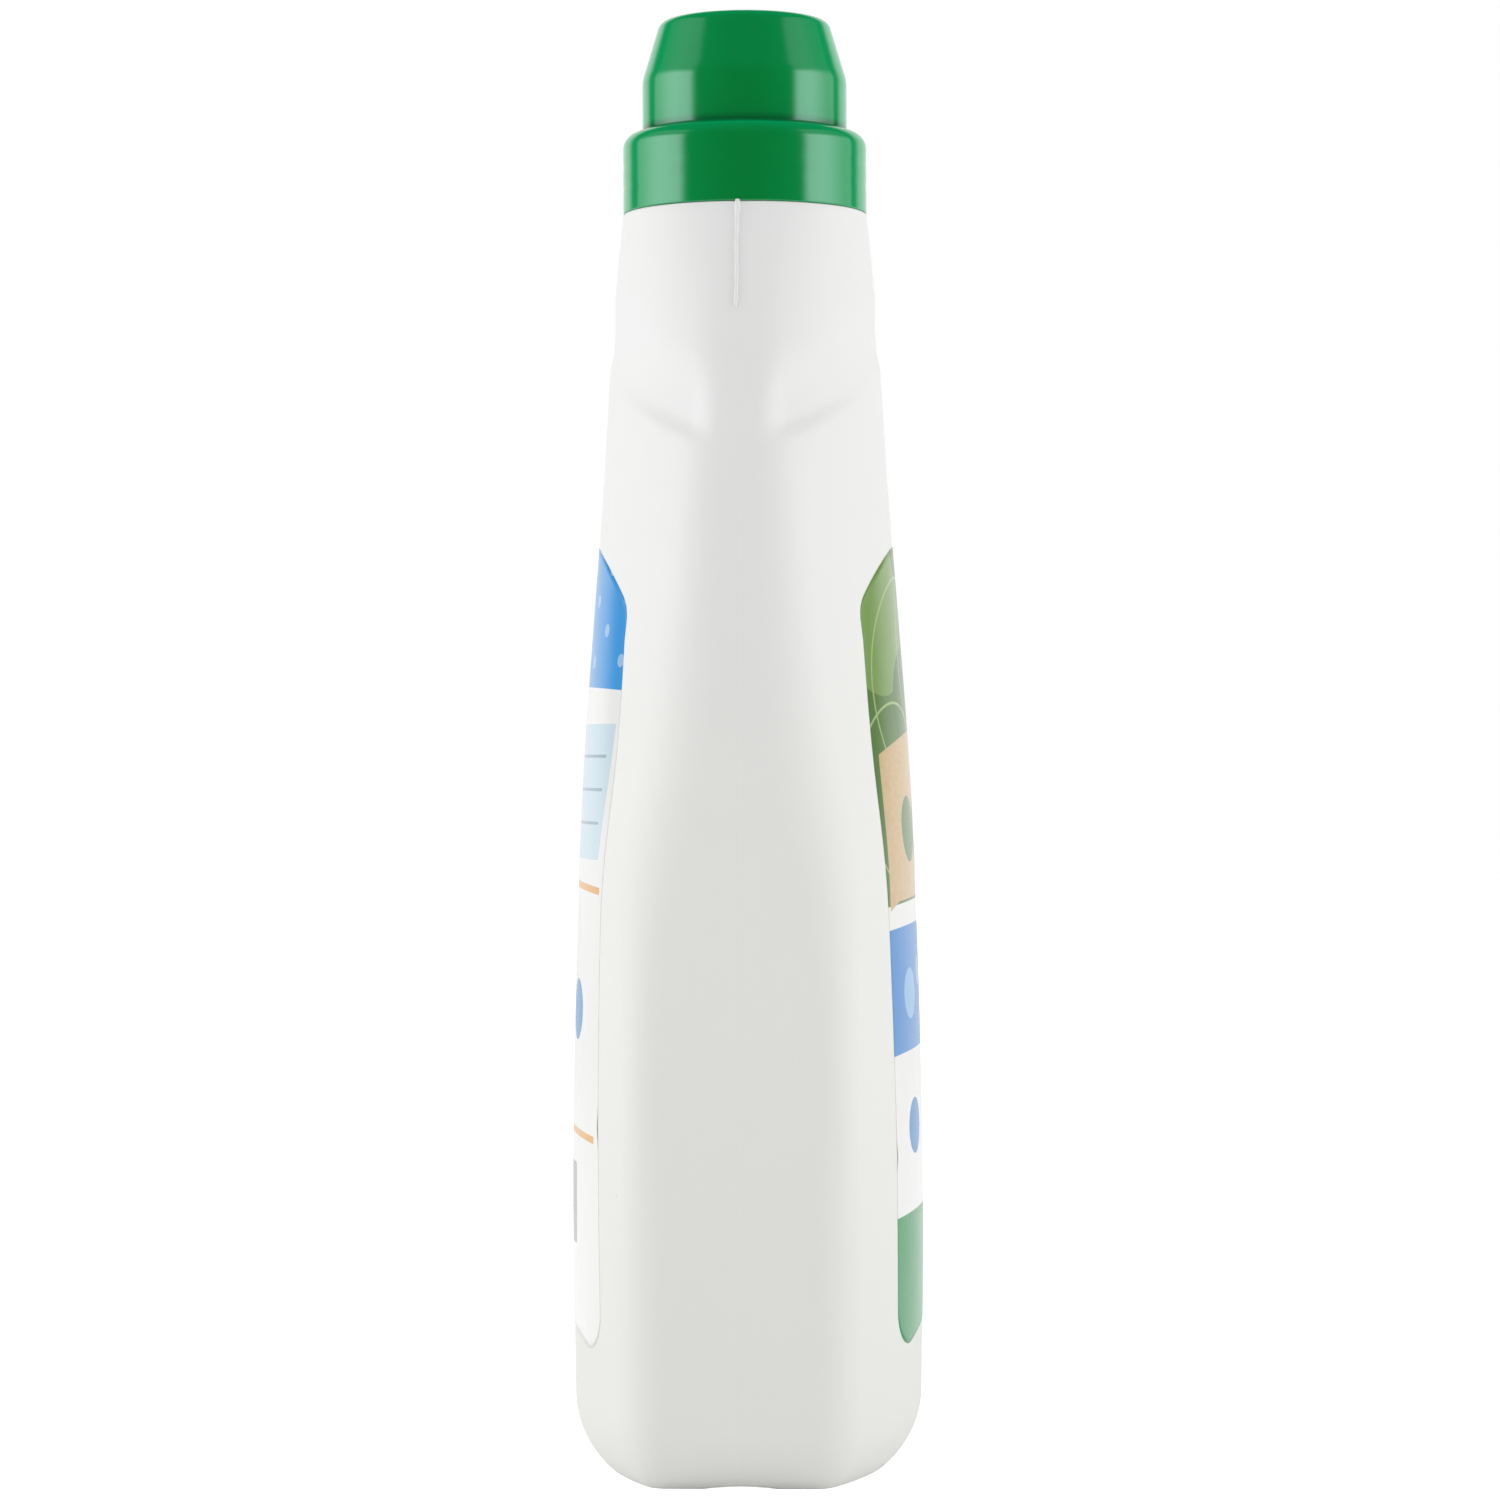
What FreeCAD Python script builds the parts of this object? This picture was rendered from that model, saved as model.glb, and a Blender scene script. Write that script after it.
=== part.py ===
import FreeCAD, Part
import math
import os
import Sketcher
from FreeCAD import Rotation, Vector

# Laundry detergent bottle, 286 mm tall
# A flat oval bottle blown from white polyethylene, with a drain-back pouring insert pressed into its
# neck, a screwed dosing cap that is the measuring cup as well, and a film label on each broad face.
# X runs across the broad faces, Y from front to back (the front faces -Y) and Z up.
# The origin is the middle of the base, on the surface that the bottle stands on.

doc = FreeCAD.newDocument("DetergentBottle")

# Driving dimensions in millimetres and degrees
# A section of the body is a flat side, a corner arc and a bowed broad face. Its crown is the half
# depth less the corner's radius.

SIZES = [
    ("foot_level", 13.5, "top of the rounded heel"),
    ("foot_half_width", 49.6, ""),
    ("foot_half_depth", 34.5, ""),
    ("foot_half_flat", 15.5, ""),
    ("foot_crown", 24.5, ""),
    ("hip_level", 55, "widest section"),
    ("hip_half_width", 50, ""),
    ("hip_half_depth", 34.8, ""),
    ("hip_half_flat", 16, ""),
    ("hip_crown", 25.6, ""),
    ("waist_level", 98, "the flat of the narrow side narrows from here up"),
    ("waist_half_width", 49.5, ""),
    ("waist_half_depth", 34, ""),
    ("waist_half_flat", 15.6, ""),
    ("waist_crown", 24.6, ""),
    ("belly_level", 122, ""),
    ("belly_half_width", 48.6, ""),
    ("belly_half_depth", 33.1, ""),
    ("belly_half_flat", 9.6, ""),
    ("belly_crown", 17.2, ""),
    ("chest_level", 155, ""),
    ("chest_half_width", 46.4, ""),
    ("chest_half_depth", 31.2, ""),
    ("chest_half_flat", 4, ""),
    ("chest_crown", 15.5, ""),
    ("arch_level", 200, "section at the low ends of the crease"),
    ("arch_half_width", 39.5, ""),
    ("arch_half_depth", 27.9, ""),
    ("arch_half_flat", 3.2, ""),
    ("arch_crown", 16.8, ""),
    ("shoulder_level", 226, ""),
    ("shoulder_half_width", 32, ""),
    ("shoulder_half_depth", 26.1, ""),
    ("shoulder_half_flat", 1.5, ""),
    ("shoulder_crown", 11.5, ""),
    ("throat_level", 247.5, "top of the shoulder, under the cap"),
    ("throat_half_width", 24.3, ""),
    ("throat_half_depth", 24.3, ""),
    ("throat_half_flat", 0.4, ""),
    ("throat_crown", 0.7, ""),
    ("wall", 1.1, "blown wall"),
    ("heel_radius", 18, "rounding between the sides and the base"),
    ("crease_step", 0.5, "how far the body stands proud of the shoulder at the crease"),
    ("crease_peak", 220, "where the two slopes of the crease would meet, on a broad face"),
    ("crease_fall", 28.8, "fall of each slope, in degrees"),
    ("crease_rounding", 14, "rounding of the peak, seen from the front"),
    ("push_up_length", 68, "hollow under the base"),
    ("push_up_width", 38, ""),
    ("push_up_height", 4, ""),
    ("weld_radius", 41, "shallow channel along the pinched weld of the base"),
    ("weld_depth", 0.6, ""),
    ("neck_radius", 21, "outside of the neck"),
    ("neck_bore", 19.4, "inside radius of the neck"),
    ("neck_length", 13.5, "from the shoulder to the rim"),
    ("flange_radius", 20.9, "pouring insert"),
    ("flange_thickness", 1, ""),
    ("plug_wall", 1, ""),
    ("trough_depth", 14, "from the neck's rim down to the underside of the drip trough"),
    ("trough_floor", 1, ""),
    ("spout_radius", 12, "outside of the pouring spout"),
    ("spout_wall", 1, ""),
    ("spout_reach", 16, "lip of the spout above the neck's rim"),
    ("spout_slope", 24, "fall of the spout's top, in degrees"),
    ("slot_width", 7, "slot down the low side of the spout, where drips run back"),
    ("seal_clearance", 0.2, "between the insert's flange and the cap"),
    ("skirt_clearance", 0.3, "between the shoulder and the cap"),
    ("collar_radius", 24.3, "dosing cap, outside of the threaded collar"),
    ("collar_wall", 1.7, ""),
    ("collar_rounding", 3, ""),
    ("deck_thickness", 1.4, "step between the collar and the cup"),
    ("deck_rounding", 0.6, ""),
    ("cup_radius", 20.4, ""),
    ("cup_wall", 1.3, ""),
    ("cup_straight", 10.6, "straight height of the cup above the step"),
    ("cup_rounding", 8, "between the straight part and the cone"),
    ("cone_length", 11.9, ""),
    ("cone_end_radius", 16.8, ""),
    ("crown_rounding", 2.2, ""),
    ("film", 0.25, "label film"),
    ("label_half_width", 36, "at its widest"),
    ("label_widest", 75, "height of the widest place"),
    ("label_side_radius", 870, "the sides as shallow arcs that follow the bottle's outline"),
    ("label_top", 181, "apex of the label's arched top"),
    ("label_top_radius", 40, ""),
    ("label_foot", 28, "apex of the label's arched bottom edge"),
    ("label_foot_radius", 106, ""),
    ("label_corner", 7, ""),
]

sheet = doc.addObject("Spreadsheet::Sheet", "Sizes")
for row, (alias, value, note) in enumerate(SIZES, start=1):
    sheet.set(f"A{row}", alias)
    sheet.set(f"B{row}", str(value))
    sheet.set(f"C{row}", note)
    sheet.setAlias(f"B{row}", alias)
doc.recompute()

# Heights that several pieces share

RIM = "Sizes.throat_level + Sizes.neck_length"
DECK = f"{RIM} + Sizes.flange_thickness + Sizes.seal_clearance"
OUT_OF_THE_WAY = "Sizes.hip_half_width + Sizes.hip_half_depth"


def value_of(text):
    return float(sheet.evalExpression(text))


def hold(sketch, constraint, name, text):
    """Adds a sized constraint to a sketch and binds it to an expression."""
    index = sketch.addConstraint(constraint)
    sketch.renameConstraint(index, name)
    sketch.setExpression(f"Constraints.{name}", text)


def new_sketch(body, name, plane_role):
    """A sketch on one of its own body's origin planes."""
    sketch = body.newObject("Sketcher::SketchObject", name)
    plane = next(item for item in body.Origin.OriginFeatures if item.Role == plane_role)
    sketch.AttachmentSupport = [(plane, "")]
    sketch.MapMode = "FlatFace"
    return sketch


ORIGIN = -1
VERTICAL_AXIS = -2


def outline_sketch(body, name, outline):
    """A closed outline on the XZ plane, from a list of distance and height expressions."""
    sketch = new_sketch(body, name, "XZ_Plane")
    corners = [Vector(value_of(across), value_of(height), 0) for across, height in outline]
    count = len(corners)
    for index, corner in enumerate(corners):
        sketch.addGeometry(Part.LineSegment(corner, corners[(index + 1) % count]), False)
    for index, (across, height) in enumerate(outline):
        sketch.addConstraint(Sketcher.Constraint("Coincident", index, 2, (index + 1) % count, 1))
        if across == "0":
            sketch.addConstraint(Sketcher.Constraint("PointOnObject", index, 1, VERTICAL_AXIS))
        else:
            aside = Sketcher.Constraint("DistanceX", ORIGIN, 1, index, 1, corners[index].x)
            hold(sketch, aside, f"across_{index}", across)
        up = Sketcher.Constraint("DistanceY", ORIGIN, 1, index, 1, corners[index].y)
        hold(sketch, up, f"height_{index}", height)
    return sketch


# Blown body: closed sections joined by a loft


def arc(x, y, radius, start, end):
    circle = Part.Circle(Vector(x, y, 0), Vector(0, 0, 1), radius)
    return Part.ArcOfCircle(circle, start, end)


def draw_section(sketch, half_width, half_depth, half_flat, crown):
    """Flat sides, corner arcs and bowed broad faces, each tangent to the next."""
    side = value_of(half_width)
    depth = value_of(half_depth)
    flat = value_of(half_flat)
    corner = depth - value_of(crown)
    inset = side - corner
    rise = depth - corner
    bow_centre = (inset**2 + flat**2 - rise**2) / (2 * (flat - rise))
    bow = depth - bow_centre
    turn = math.atan2(flat - bow_centre, inset)
    half_turn = math.pi
    edges = [
        Part.LineSegment(Vector(side, -flat, 0), Vector(side, flat, 0)),
        arc(inset, flat, corner, 0, turn),
        arc(0, bow_centre, bow, turn, half_turn - turn),
        arc(-inset, flat, corner, half_turn - turn, half_turn),
        Part.LineSegment(Vector(-side, flat, 0), Vector(-side, -flat, 0)),
        arc(-inset, -flat, corner, half_turn, half_turn + turn),
        arc(0, -bow_centre, bow, half_turn + turn, 2 * half_turn - turn),
        arc(inset, -flat, corner, 2 * half_turn - turn, 2 * half_turn),
    ]
    sketch.addGeometry(edges, False)
    for edge in range(len(edges)):
        following = (edge + 1) % len(edges)
        sketch.addConstraint(Sketcher.Constraint("Tangent", edge, 2, following, 1))
    sketch.addConstraint(Sketcher.Constraint("Symmetric", 0, 1, 0, 2, ORIGIN))
    sketch.addConstraint(Sketcher.Constraint("Symmetric", 4, 1, 4, 2, ORIGIN))
    sketch.addConstraint(Sketcher.Constraint("Symmetric", 0, 2, 4, 1, VERTICAL_AXIS))
    for corner_edge in range(3, len(edges), 2):
        sketch.addConstraint(Sketcher.Constraint("Equal", 1, corner_edge))
    sketch.addConstraint(Sketcher.Constraint("Equal", 2, 6))
    crest = sketch.addGeometry(Part.Point(Vector(0, depth, 0)), True)
    sketch.addConstraint(Sketcher.Constraint("PointOnObject", crest, 1, 2))
    sketch.addConstraint(Sketcher.Constraint("PointOnObject", crest, 1, VERTICAL_AXIS))
    hold(sketch, Sketcher.Constraint("DistanceX", ORIGIN, 1, 0, 2, side), "half_width", half_width)
    hold(sketch, Sketcher.Constraint("DistanceY", ORIGIN, 1, 0, 2, flat), "half_flat", half_flat)
    hold(sketch, Sketcher.Constraint("DistanceY", ORIGIN, 1, crest, 1, depth), "half_depth", half_depth)
    hold(sketch, Sketcher.Constraint("Radius", 1, corner), "corner", f"{half_depth} - {crown}")


def heel_section(share, floor, outwards):
    """Level and growth of a heel section, at a share of the way from the floor up to the foot."""
    drop = f"(1 - {share}) * (Sizes.foot_level - ({floor}))"
    radius = f"(Sizes.heel_radius{outwards})"
    level = f"Sizes.foot_level - {drop}"
    growth = f"{outwards} - {radius} + sqrt({radius} ^ 2 - ({drop}) ^ 2)"
    return level, growth


HEEL_SHARES = [0, 0.2, 0.45, 0.7]


def blown_form(name, growth, floor="0", top_drop=""):
    """Lofts through the stations, each grown outwards, with a rounded heel below the foot."""
    body = doc.addObject("PartDesign::Body", name)

    def station_sketch(station, title, level, outwards):
        sketch = new_sketch(body, f"{name}_{title}", "XY_Plane")
        sketch.setExpression("AttachmentOffset.Base.z", level)
        draw_section(
            sketch,
            f"Sizes.{station}_half_width{outwards}",
            f"Sizes.{station}_half_depth{outwards}",
            f"Sizes.{station}_half_flat",
            f"Sizes.{station}_crown",
        )
        return sketch

    def loft(title, sketches):
        feature = body.newObject("PartDesign::AdditiveLoft", f"{name}_{title}")
        feature.Profile = sketches[0]
        feature.Sections = sketches[1:]
        feature.Ruled = False
        body.Tip = feature
        doc.recompute()

    sketches = []
    for station, outwards in growth.items():
        drop = top_drop if station == "throat" else ""
        sketches.append(station_sketch(station, station, f"Sizes.{station}_level{drop}", outwards))
    loft("sides", sketches)
    if "foot" in growth:
        heel = []
        for index, share in enumerate(HEEL_SHARES):
            level, outwards = heel_section(share, floor, growth["foot"])
            heel.append(station_sketch("foot", f"heel_{index}", level, outwards))
        loft("heel", heel + sketches[:1])
    return body


# the cavity passes the shoulder by, so that the wall is thicker there, as a blown one is near its neck
LOW_STATIONS = ["foot", "hip", "waist", "belly", "chest", "arch"]
body_growth = dict.fromkeys(LOW_STATIONS, "")
body_growth["shoulder"] = " + Sizes.crease_step"
shoulder_growth = {
    "chest": " - Sizes.crease_step",
    "arch": " - Sizes.crease_step",
    "shoulder": "",
    "throat": "",
}
cavity_growth = dict.fromkeys(LOW_STATIONS, " - Sizes.wall")
cavity_growth["arch"] = " - Sizes.wall - Sizes.crease_step"
cavity_growth["throat"] = " - Sizes.wall"
film_growth = dict.fromkeys(LOW_STATIONS, " + Sizes.film")
film_growth["shoulder"] = " + Sizes.crease_step + Sizes.film"

body_form = blown_form("body_form", body_growth)
shoulder_form = blown_form("shoulder_form", shoulder_growth)
cavity_form = blown_form(
    "cavity_form",
    cavity_growth,
    floor="Sizes.wall + Sizes.weld_depth",
    top_drop=" - Sizes.wall",
)


def primitive(kind, name, sizes, place=None, turn=None):
    """A primitive whose sizes and position are bound to expressions."""
    item = doc.addObject(kind, name)
    item.Placement.Rotation = turn or Rotation()
    for prop, text in sizes.items():
        item.setExpression(prop, text)
    for axis, text in (place or {}).items():
        item.setExpression(f"Placement.Base.{axis}", text)
    return item


def combine(kind, name, base, tool):
    item = doc.addObject(kind, name)
    item.Base = base
    item.Tool = tool
    return item


# The body proper ends in a rounded gable on each broad face, just proud of the shoulder above it

ALONG_X = Rotation(Vector(0, 1, 0), 90)
ACROSS = f"2 * ({OUT_OF_THE_WAY})"
GABLE_END = f"Sizes.crease_peak - ({OUT_OF_THE_WAY}) * tan(Sizes.crease_fall)"

gable = doc.addObject("PartDesign::Body", "gable")
gable_sketch = outline_sketch(
    gable,
    "gable_outline",
    [
        ("0", "Sizes.crease_peak"),
        (OUT_OF_THE_WAY, GABLE_END),
        (OUT_OF_THE_WAY, "0"),
        (f"-({OUT_OF_THE_WAY})", "0"),
        (f"-({OUT_OF_THE_WAY})", GABLE_END),
    ],
)
gable_sketch.setExpression("AttachmentOffset.Base.z", f"-({OUT_OF_THE_WAY})")
gable_pad = gable.newObject("PartDesign::Pad", "gable_pad")
gable_pad.Profile = gable_sketch
gable_pad.setExpression("Length", ACROSS)
doc.recompute()
gable_peak = gable.newObject("PartDesign::Fillet", "gable_peak")
ridge = []
for index, edge in enumerate(gable_pad.Shape.Edges, start=1):
    if edge.BoundBox.ZMin > value_of("Sizes.crease_peak") - 0.01:
        ridge.append(f"Edge{index}")
gable_peak.Base = (gable_pad, ridge)
gable_peak.setExpression("Radius", "Sizes.crease_rounding")
gable.Tip = gable_peak
doc.recompute()
gabled_body = combine("Part::Common", "gabled_body", body_form, gable)
outer_form = combine("Part::Fuse", "outer_form", gabled_body, shoulder_form)

# Neck, hollow base and cavity

neck = primitive(
    "Part::Cylinder",
    "neck",
    {"Radius": "Sizes.neck_radius", "Height": "Sizes.neck_length + Sizes.wall"},
    {"z": "Sizes.throat_level - Sizes.wall"},
)
bore = primitive(
    "Part::Cylinder",
    "bore",
    {"Radius": "Sizes.neck_bore", "Height": "Sizes.neck_length + 3 * Sizes.wall"},
    {"z": "Sizes.throat_level - 2 * Sizes.wall"},
)


def dome(name, thickness):
    """An ellipsoid round the middle of the base, as large as the push-up and a thickness more."""
    return primitive(
        "Part::Ellipsoid",
        name,
        {
            "Radius1": f"Sizes.push_up_height{thickness}",
            "Radius2": f"Sizes.push_up_length / 2{thickness}",
            "Radius3": f"Sizes.push_up_width / 2{thickness}",
        },
    )


push_up = dome("push_up", "")
floor_dome = dome("floor_dome", " + Sizes.wall + Sizes.weld_depth")
cavity = combine("Part::Cut", "cavity", cavity_form, floor_dome)
weld_channel = primitive(
    "Part::Cylinder",
    "weld_channel",
    {"Radius": "Sizes.weld_radius", "Height": ACROSS},
    {"x": f"-({OUT_OF_THE_WAY})", "z": "Sizes.weld_depth - Sizes.weld_radius"},
    ALONG_X,
)

blown_solid = combine("Part::Fuse", "blown_solid", outer_form, neck)
hollows = doc.addObject("Part::MultiFuse", "hollows")
hollows.Shapes = [cavity, bore, push_up, weld_channel]
bottle = combine("Part::Cut", "bottle", blown_solid, hollows)


# Turned profiles, for the moulded insert and the cap


def turned_body(name, outline):
    """A body turned about the Z axis from an outline of radius and height expressions."""
    body = doc.addObject("PartDesign::Body", name)
    sketch = outline_sketch(body, f"{name}_outline", outline)
    turned = body.newObject("PartDesign::Revolution", f"{name}_turned")
    turned.Profile = sketch
    turned.ReferenceAxis = (sketch, ["V_Axis"])
    turned.Angle = 360
    doc.recompute()
    return body, turned


def edge_names(shape, radius, height):
    """The round edges about the Z axis of a radius and height, both given as expressions."""
    found = []
    for index, edge in enumerate(shape.Edges, start=1):
        box = edge.BoundBox
        at_height = abs(box.ZMin - value_of(height)) < 0.01 and box.ZLength < 0.01
        if at_height and abs(box.XMax - value_of(radius)) < 0.01:
            found.append(f"Edge{index}")
    return found


def round_off(body, base, name, radius, height, rounding):
    """Rounds the edge of a turned body that lies at a radius and height."""
    fillet = body.newObject("PartDesign::Fillet", name)
    fillet.Base = (base, edge_names(base.Shape, radius, height))
    fillet.setExpression("Radius", rounding)
    body.Tip = fillet
    doc.recompute()
    return fillet


# Pouring insert: flange on the rim, plug in the bore, drip trough and slanted spout

PLUG_INNER = "Sizes.neck_bore - Sizes.plug_wall"
TROUGH_BOTTOM = f"{RIM} - Sizes.trough_depth"
TROUGH_FLOOR = f"{TROUGH_BOTTOM} + Sizes.trough_floor"
SPOUT_INNER = "Sizes.spout_radius - Sizes.spout_wall"
LIP = f"{RIM} + Sizes.spout_reach"
FLANGE_TOP = f"{RIM} + Sizes.flange_thickness"

insert_body, insert_turned = turned_body(
    "insert_body",
    [
        ("Sizes.neck_bore", RIM),
        ("Sizes.flange_radius", RIM),
        ("Sizes.flange_radius", FLANGE_TOP),
        (PLUG_INNER, FLANGE_TOP),
        (PLUG_INNER, TROUGH_FLOOR),
        ("Sizes.spout_radius", TROUGH_FLOOR),
        ("Sizes.spout_radius", LIP),
        (SPOUT_INNER, LIP),
        (SPOUT_INNER, TROUGH_BOTTOM),
        ("Sizes.neck_bore", TROUGH_BOTTOM),
    ],
)
SLAB = "3 * Sizes.spout_radius"
slope_cut = primitive(
    "Part::Box",
    "slope_cut",
    {"Length": SLAB, "Width": SLAB, "Height": SLAB},
    {
        "x": f"Sizes.spout_radius - {SLAB} * cos(Sizes.spout_slope)",
        "y": f"-{SLAB} / 2",
        "z": f"{LIP} - {SLAB} * sin(Sizes.spout_slope)",
    },
    Rotation(Vector(0, 1, 0), 0),
)
slope_cut.setExpression("Placement.Rotation.Angle", "-Sizes.spout_slope")
drain_slot = primitive(
    "Part::Box",
    "drain_slot",
    {"Length": "2 * Sizes.spout_wall + 1", "Width": "Sizes.slot_width", "Height": "2 * Sizes.spout_reach"},
    {"x": "-Sizes.spout_radius - 1", "y": "-Sizes.slot_width / 2", "z": TROUGH_FLOOR},
)
spout_cuts = combine("Part::Fuse", "spout_cuts", slope_cut, drain_slot)
pour_spout = combine("Part::Cut", "pour_spout", insert_body, spout_cuts)

# Dosing cap: threaded collar, step and tapered cup, moulded as one

CAP_FOOT = "Sizes.throat_level + Sizes.skirt_clearance"
DECK_TOP = f"{DECK} + Sizes.deck_thickness"
CONE_START = f"{DECK_TOP} + Sizes.cup_straight"
CAP_TOP = f"{CONE_START} + Sizes.cone_length"
CUP_INNER = "Sizes.cup_radius - Sizes.cup_wall"
COLLAR_INNER = "Sizes.collar_radius - Sizes.collar_wall"

dosing_cap, cap_turned = turned_body(
    "dosing_cap",
    [
        ("Sizes.collar_radius", CAP_FOOT),
        ("Sizes.collar_radius", DECK_TOP),
        ("Sizes.cup_radius", DECK_TOP),
        ("Sizes.cup_radius", CONE_START),
        ("Sizes.cone_end_radius", CAP_TOP),
        ("0", CAP_TOP),
        ("0", f"{CAP_TOP} - Sizes.cup_wall"),
        ("Sizes.cone_end_radius - Sizes.cup_wall", f"{CAP_TOP} - Sizes.cup_wall"),
        (CUP_INNER, CONE_START),
        (CUP_INNER, DECK),
        (COLLAR_INNER, DECK),
        (COLLAR_INNER, CAP_FOOT),
    ],
)
CAP_ROUNDINGS = [
    ("collar_edge", "Sizes.collar_radius", DECK_TOP, "Sizes.collar_rounding"),
    ("deck_root", "Sizes.cup_radius", DECK_TOP, "Sizes.deck_rounding"),
    ("cup_bend", "Sizes.cup_radius", CONE_START, "Sizes.cup_rounding"),
    ("cup_bend_inside", CUP_INNER, CONE_START, "Sizes.cup_rounding - Sizes.cup_wall"),
    ("crown_edge", "Sizes.cone_end_radius", CAP_TOP, "Sizes.crown_rounding"),
]
cap_feature = cap_turned
for name, radius, height, rounding in CAP_ROUNDINGS:
    cap_feature = round_off(dosing_cap, cap_feature, name, radius, height, rounding)

# Labels: film grown from the body's own surface, trimmed to an arched outline

film_form = blown_form("film_form", film_growth)


def arcs_meet(side_radius, side_height, half, radius, centre):
    """Where a label's side arc meets its top or foot arc, on the right-hand side."""
    across = half
    for _ in range(30):
        height = centre + math.sqrt(radius**2 - across**2)
        across = half - side_radius + math.sqrt(side_radius**2 - (height - side_height) ** 2)
    return Vector(across, height, 0)


def label_outline(name, towards_back):
    """A prism on one side of the bottle with the label's outline, its corners rounded."""
    body = doc.addObject("PartDesign::Body", name)
    sketch = new_sketch(body, f"{name}_outline", "XZ_Plane")
    half = value_of("Sizes.label_half_width")
    side_radius = value_of("Sizes.label_side_radius")
    side_height = value_of("Sizes.label_widest")
    side_centre = half - side_radius
    top_radius = value_of("Sizes.label_top_radius")
    top_centre = value_of("Sizes.label_top") - top_radius
    foot_radius = value_of("Sizes.label_foot_radius")
    foot_centre = value_of("Sizes.label_foot") - foot_radius
    top_corner = arcs_meet(side_radius, side_height, half, top_radius, top_centre)
    foot_corner = arcs_meet(side_radius, side_height, half, foot_radius, foot_centre)
    top_turn = math.acos(top_corner.x / top_radius)
    foot_turn = math.acos(foot_corner.x / foot_radius)
    side_top = math.asin((top_corner.y - side_height) / side_radius)
    side_foot = math.asin((foot_corner.y - side_height) / side_radius)
    half_turn = math.pi
    sketch.addGeometry(
        [
            arc(side_centre, side_height, side_radius, side_foot, side_top),
            arc(0, top_centre, top_radius, top_turn, half_turn - top_turn),
            arc(-side_centre, side_height, side_radius, half_turn - side_top, half_turn - side_foot),
            arc(0, foot_centre, foot_radius, foot_turn, half_turn - foot_turn),
        ],
        False,
    )
    for first, first_end, second, second_end in ((0, 2, 1, 1), (1, 2, 2, 1), (2, 2, 3, 2), (3, 1, 0, 1)):
        sketch.addConstraint(Sketcher.Constraint("Coincident", first, first_end, second, second_end))
    for bow, radius, centre, title in (
        (1, top_radius, top_centre, "top"),
        (3, foot_radius, foot_centre, "foot"),
    ):
        sketch.addConstraint(Sketcher.Constraint("PointOnObject", bow, 3, VERTICAL_AXIS))
        hold(
            sketch,
            Sketcher.Constraint("Radius", bow, radius),
            f"{title}_radius",
            f"Sizes.label_{title}_radius",
        )
        hold(
            sketch,
            Sketcher.Constraint("DistanceY", ORIGIN, 1, bow, 3, centre),
            f"{title}_centre",
            f"Sizes.label_{title} - Sizes.label_{title}_radius",
        )
    for side, across, title in (
        (0, "Sizes.label_half_width - Sizes.label_side_radius", "right"),
        (2, "Sizes.label_side_radius - Sizes.label_half_width", "left"),
    ):
        hold(
            sketch,
            Sketcher.Constraint("Radius", side, side_radius),
            f"{title}_radius",
            "Sizes.label_side_radius",
        )
        hold(
            sketch,
            Sketcher.Constraint("DistanceX", ORIGIN, 1, side, 3, value_of(across)),
            f"{title}_across",
            across,
        )
        hold(
            sketch,
            Sketcher.Constraint("DistanceY", ORIGIN, 1, side, 3, side_height),
            f"{title}_height",
            "Sizes.label_widest",
        )
    pad = body.newObject("PartDesign::Pad", f"{name}_pad")
    pad.Profile = sketch
    pad.Reversed = towards_back
    pad.setExpression("Length", OUT_OF_THE_WAY)
    doc.recompute()
    corners = body.newObject("PartDesign::Fillet", f"{name}_corners")
    straight = []
    for index, edge in enumerate(pad.Shape.Edges, start=1):
        if edge.BoundBox.YLength > value_of(OUT_OF_THE_WAY) / 2:
            straight.append(f"Edge{index}")
    corners.Base = (pad, straight)
    corners.setExpression("Radius", "Sizes.label_corner")
    body.Tip = corners
    doc.recompute()
    return body


def label(name, towards_back):
    outline = label_outline(f"{name}_prism", towards_back)
    trimmed = combine("Part::Common", f"{name}_trimmed", film_form, outline)
    return combine("Part::Cut", name, trimmed, body_form)


front_label = label("front_label", False)
back_label = label("back_label", True)

# Recompute, test and write one file for each piece

PIECES = [bottle, pour_spout, dosing_cap, front_label, back_label]
doc.recompute()
faults = [item.Name for item in doc.Objects if "Invalid" in item.State or "Error" in item.State]
if faults:
    raise RuntimeError(f"features failed: {faults}")
os.makedirs("parts", exist_ok=True)
for piece in PIECES:
    if piece.Shape.isNull() or not piece.Shape.isValid():
        raise RuntimeError(f"{piece.Label} has no valid shape")
    piece.Shape.exportStep(f"parts/{piece.Label}.step")
    box = piece.Shape.BoundBox
    print(
        piece.Label,
        f"{len(piece.Shape.Solids)} solid, {piece.Shape.Volume / 1000:.2f} cm3,",
        f"x {box.XMin:.2f} {box.XMax:.2f} y {box.YMin:.2f} {box.YMax:.2f} z {box.ZMin:.2f} {box.ZMax:.2f}",
    )
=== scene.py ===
import math

import bmesh
import bpy
import numpy as np
from mathutils import Matrix, Vector


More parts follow.
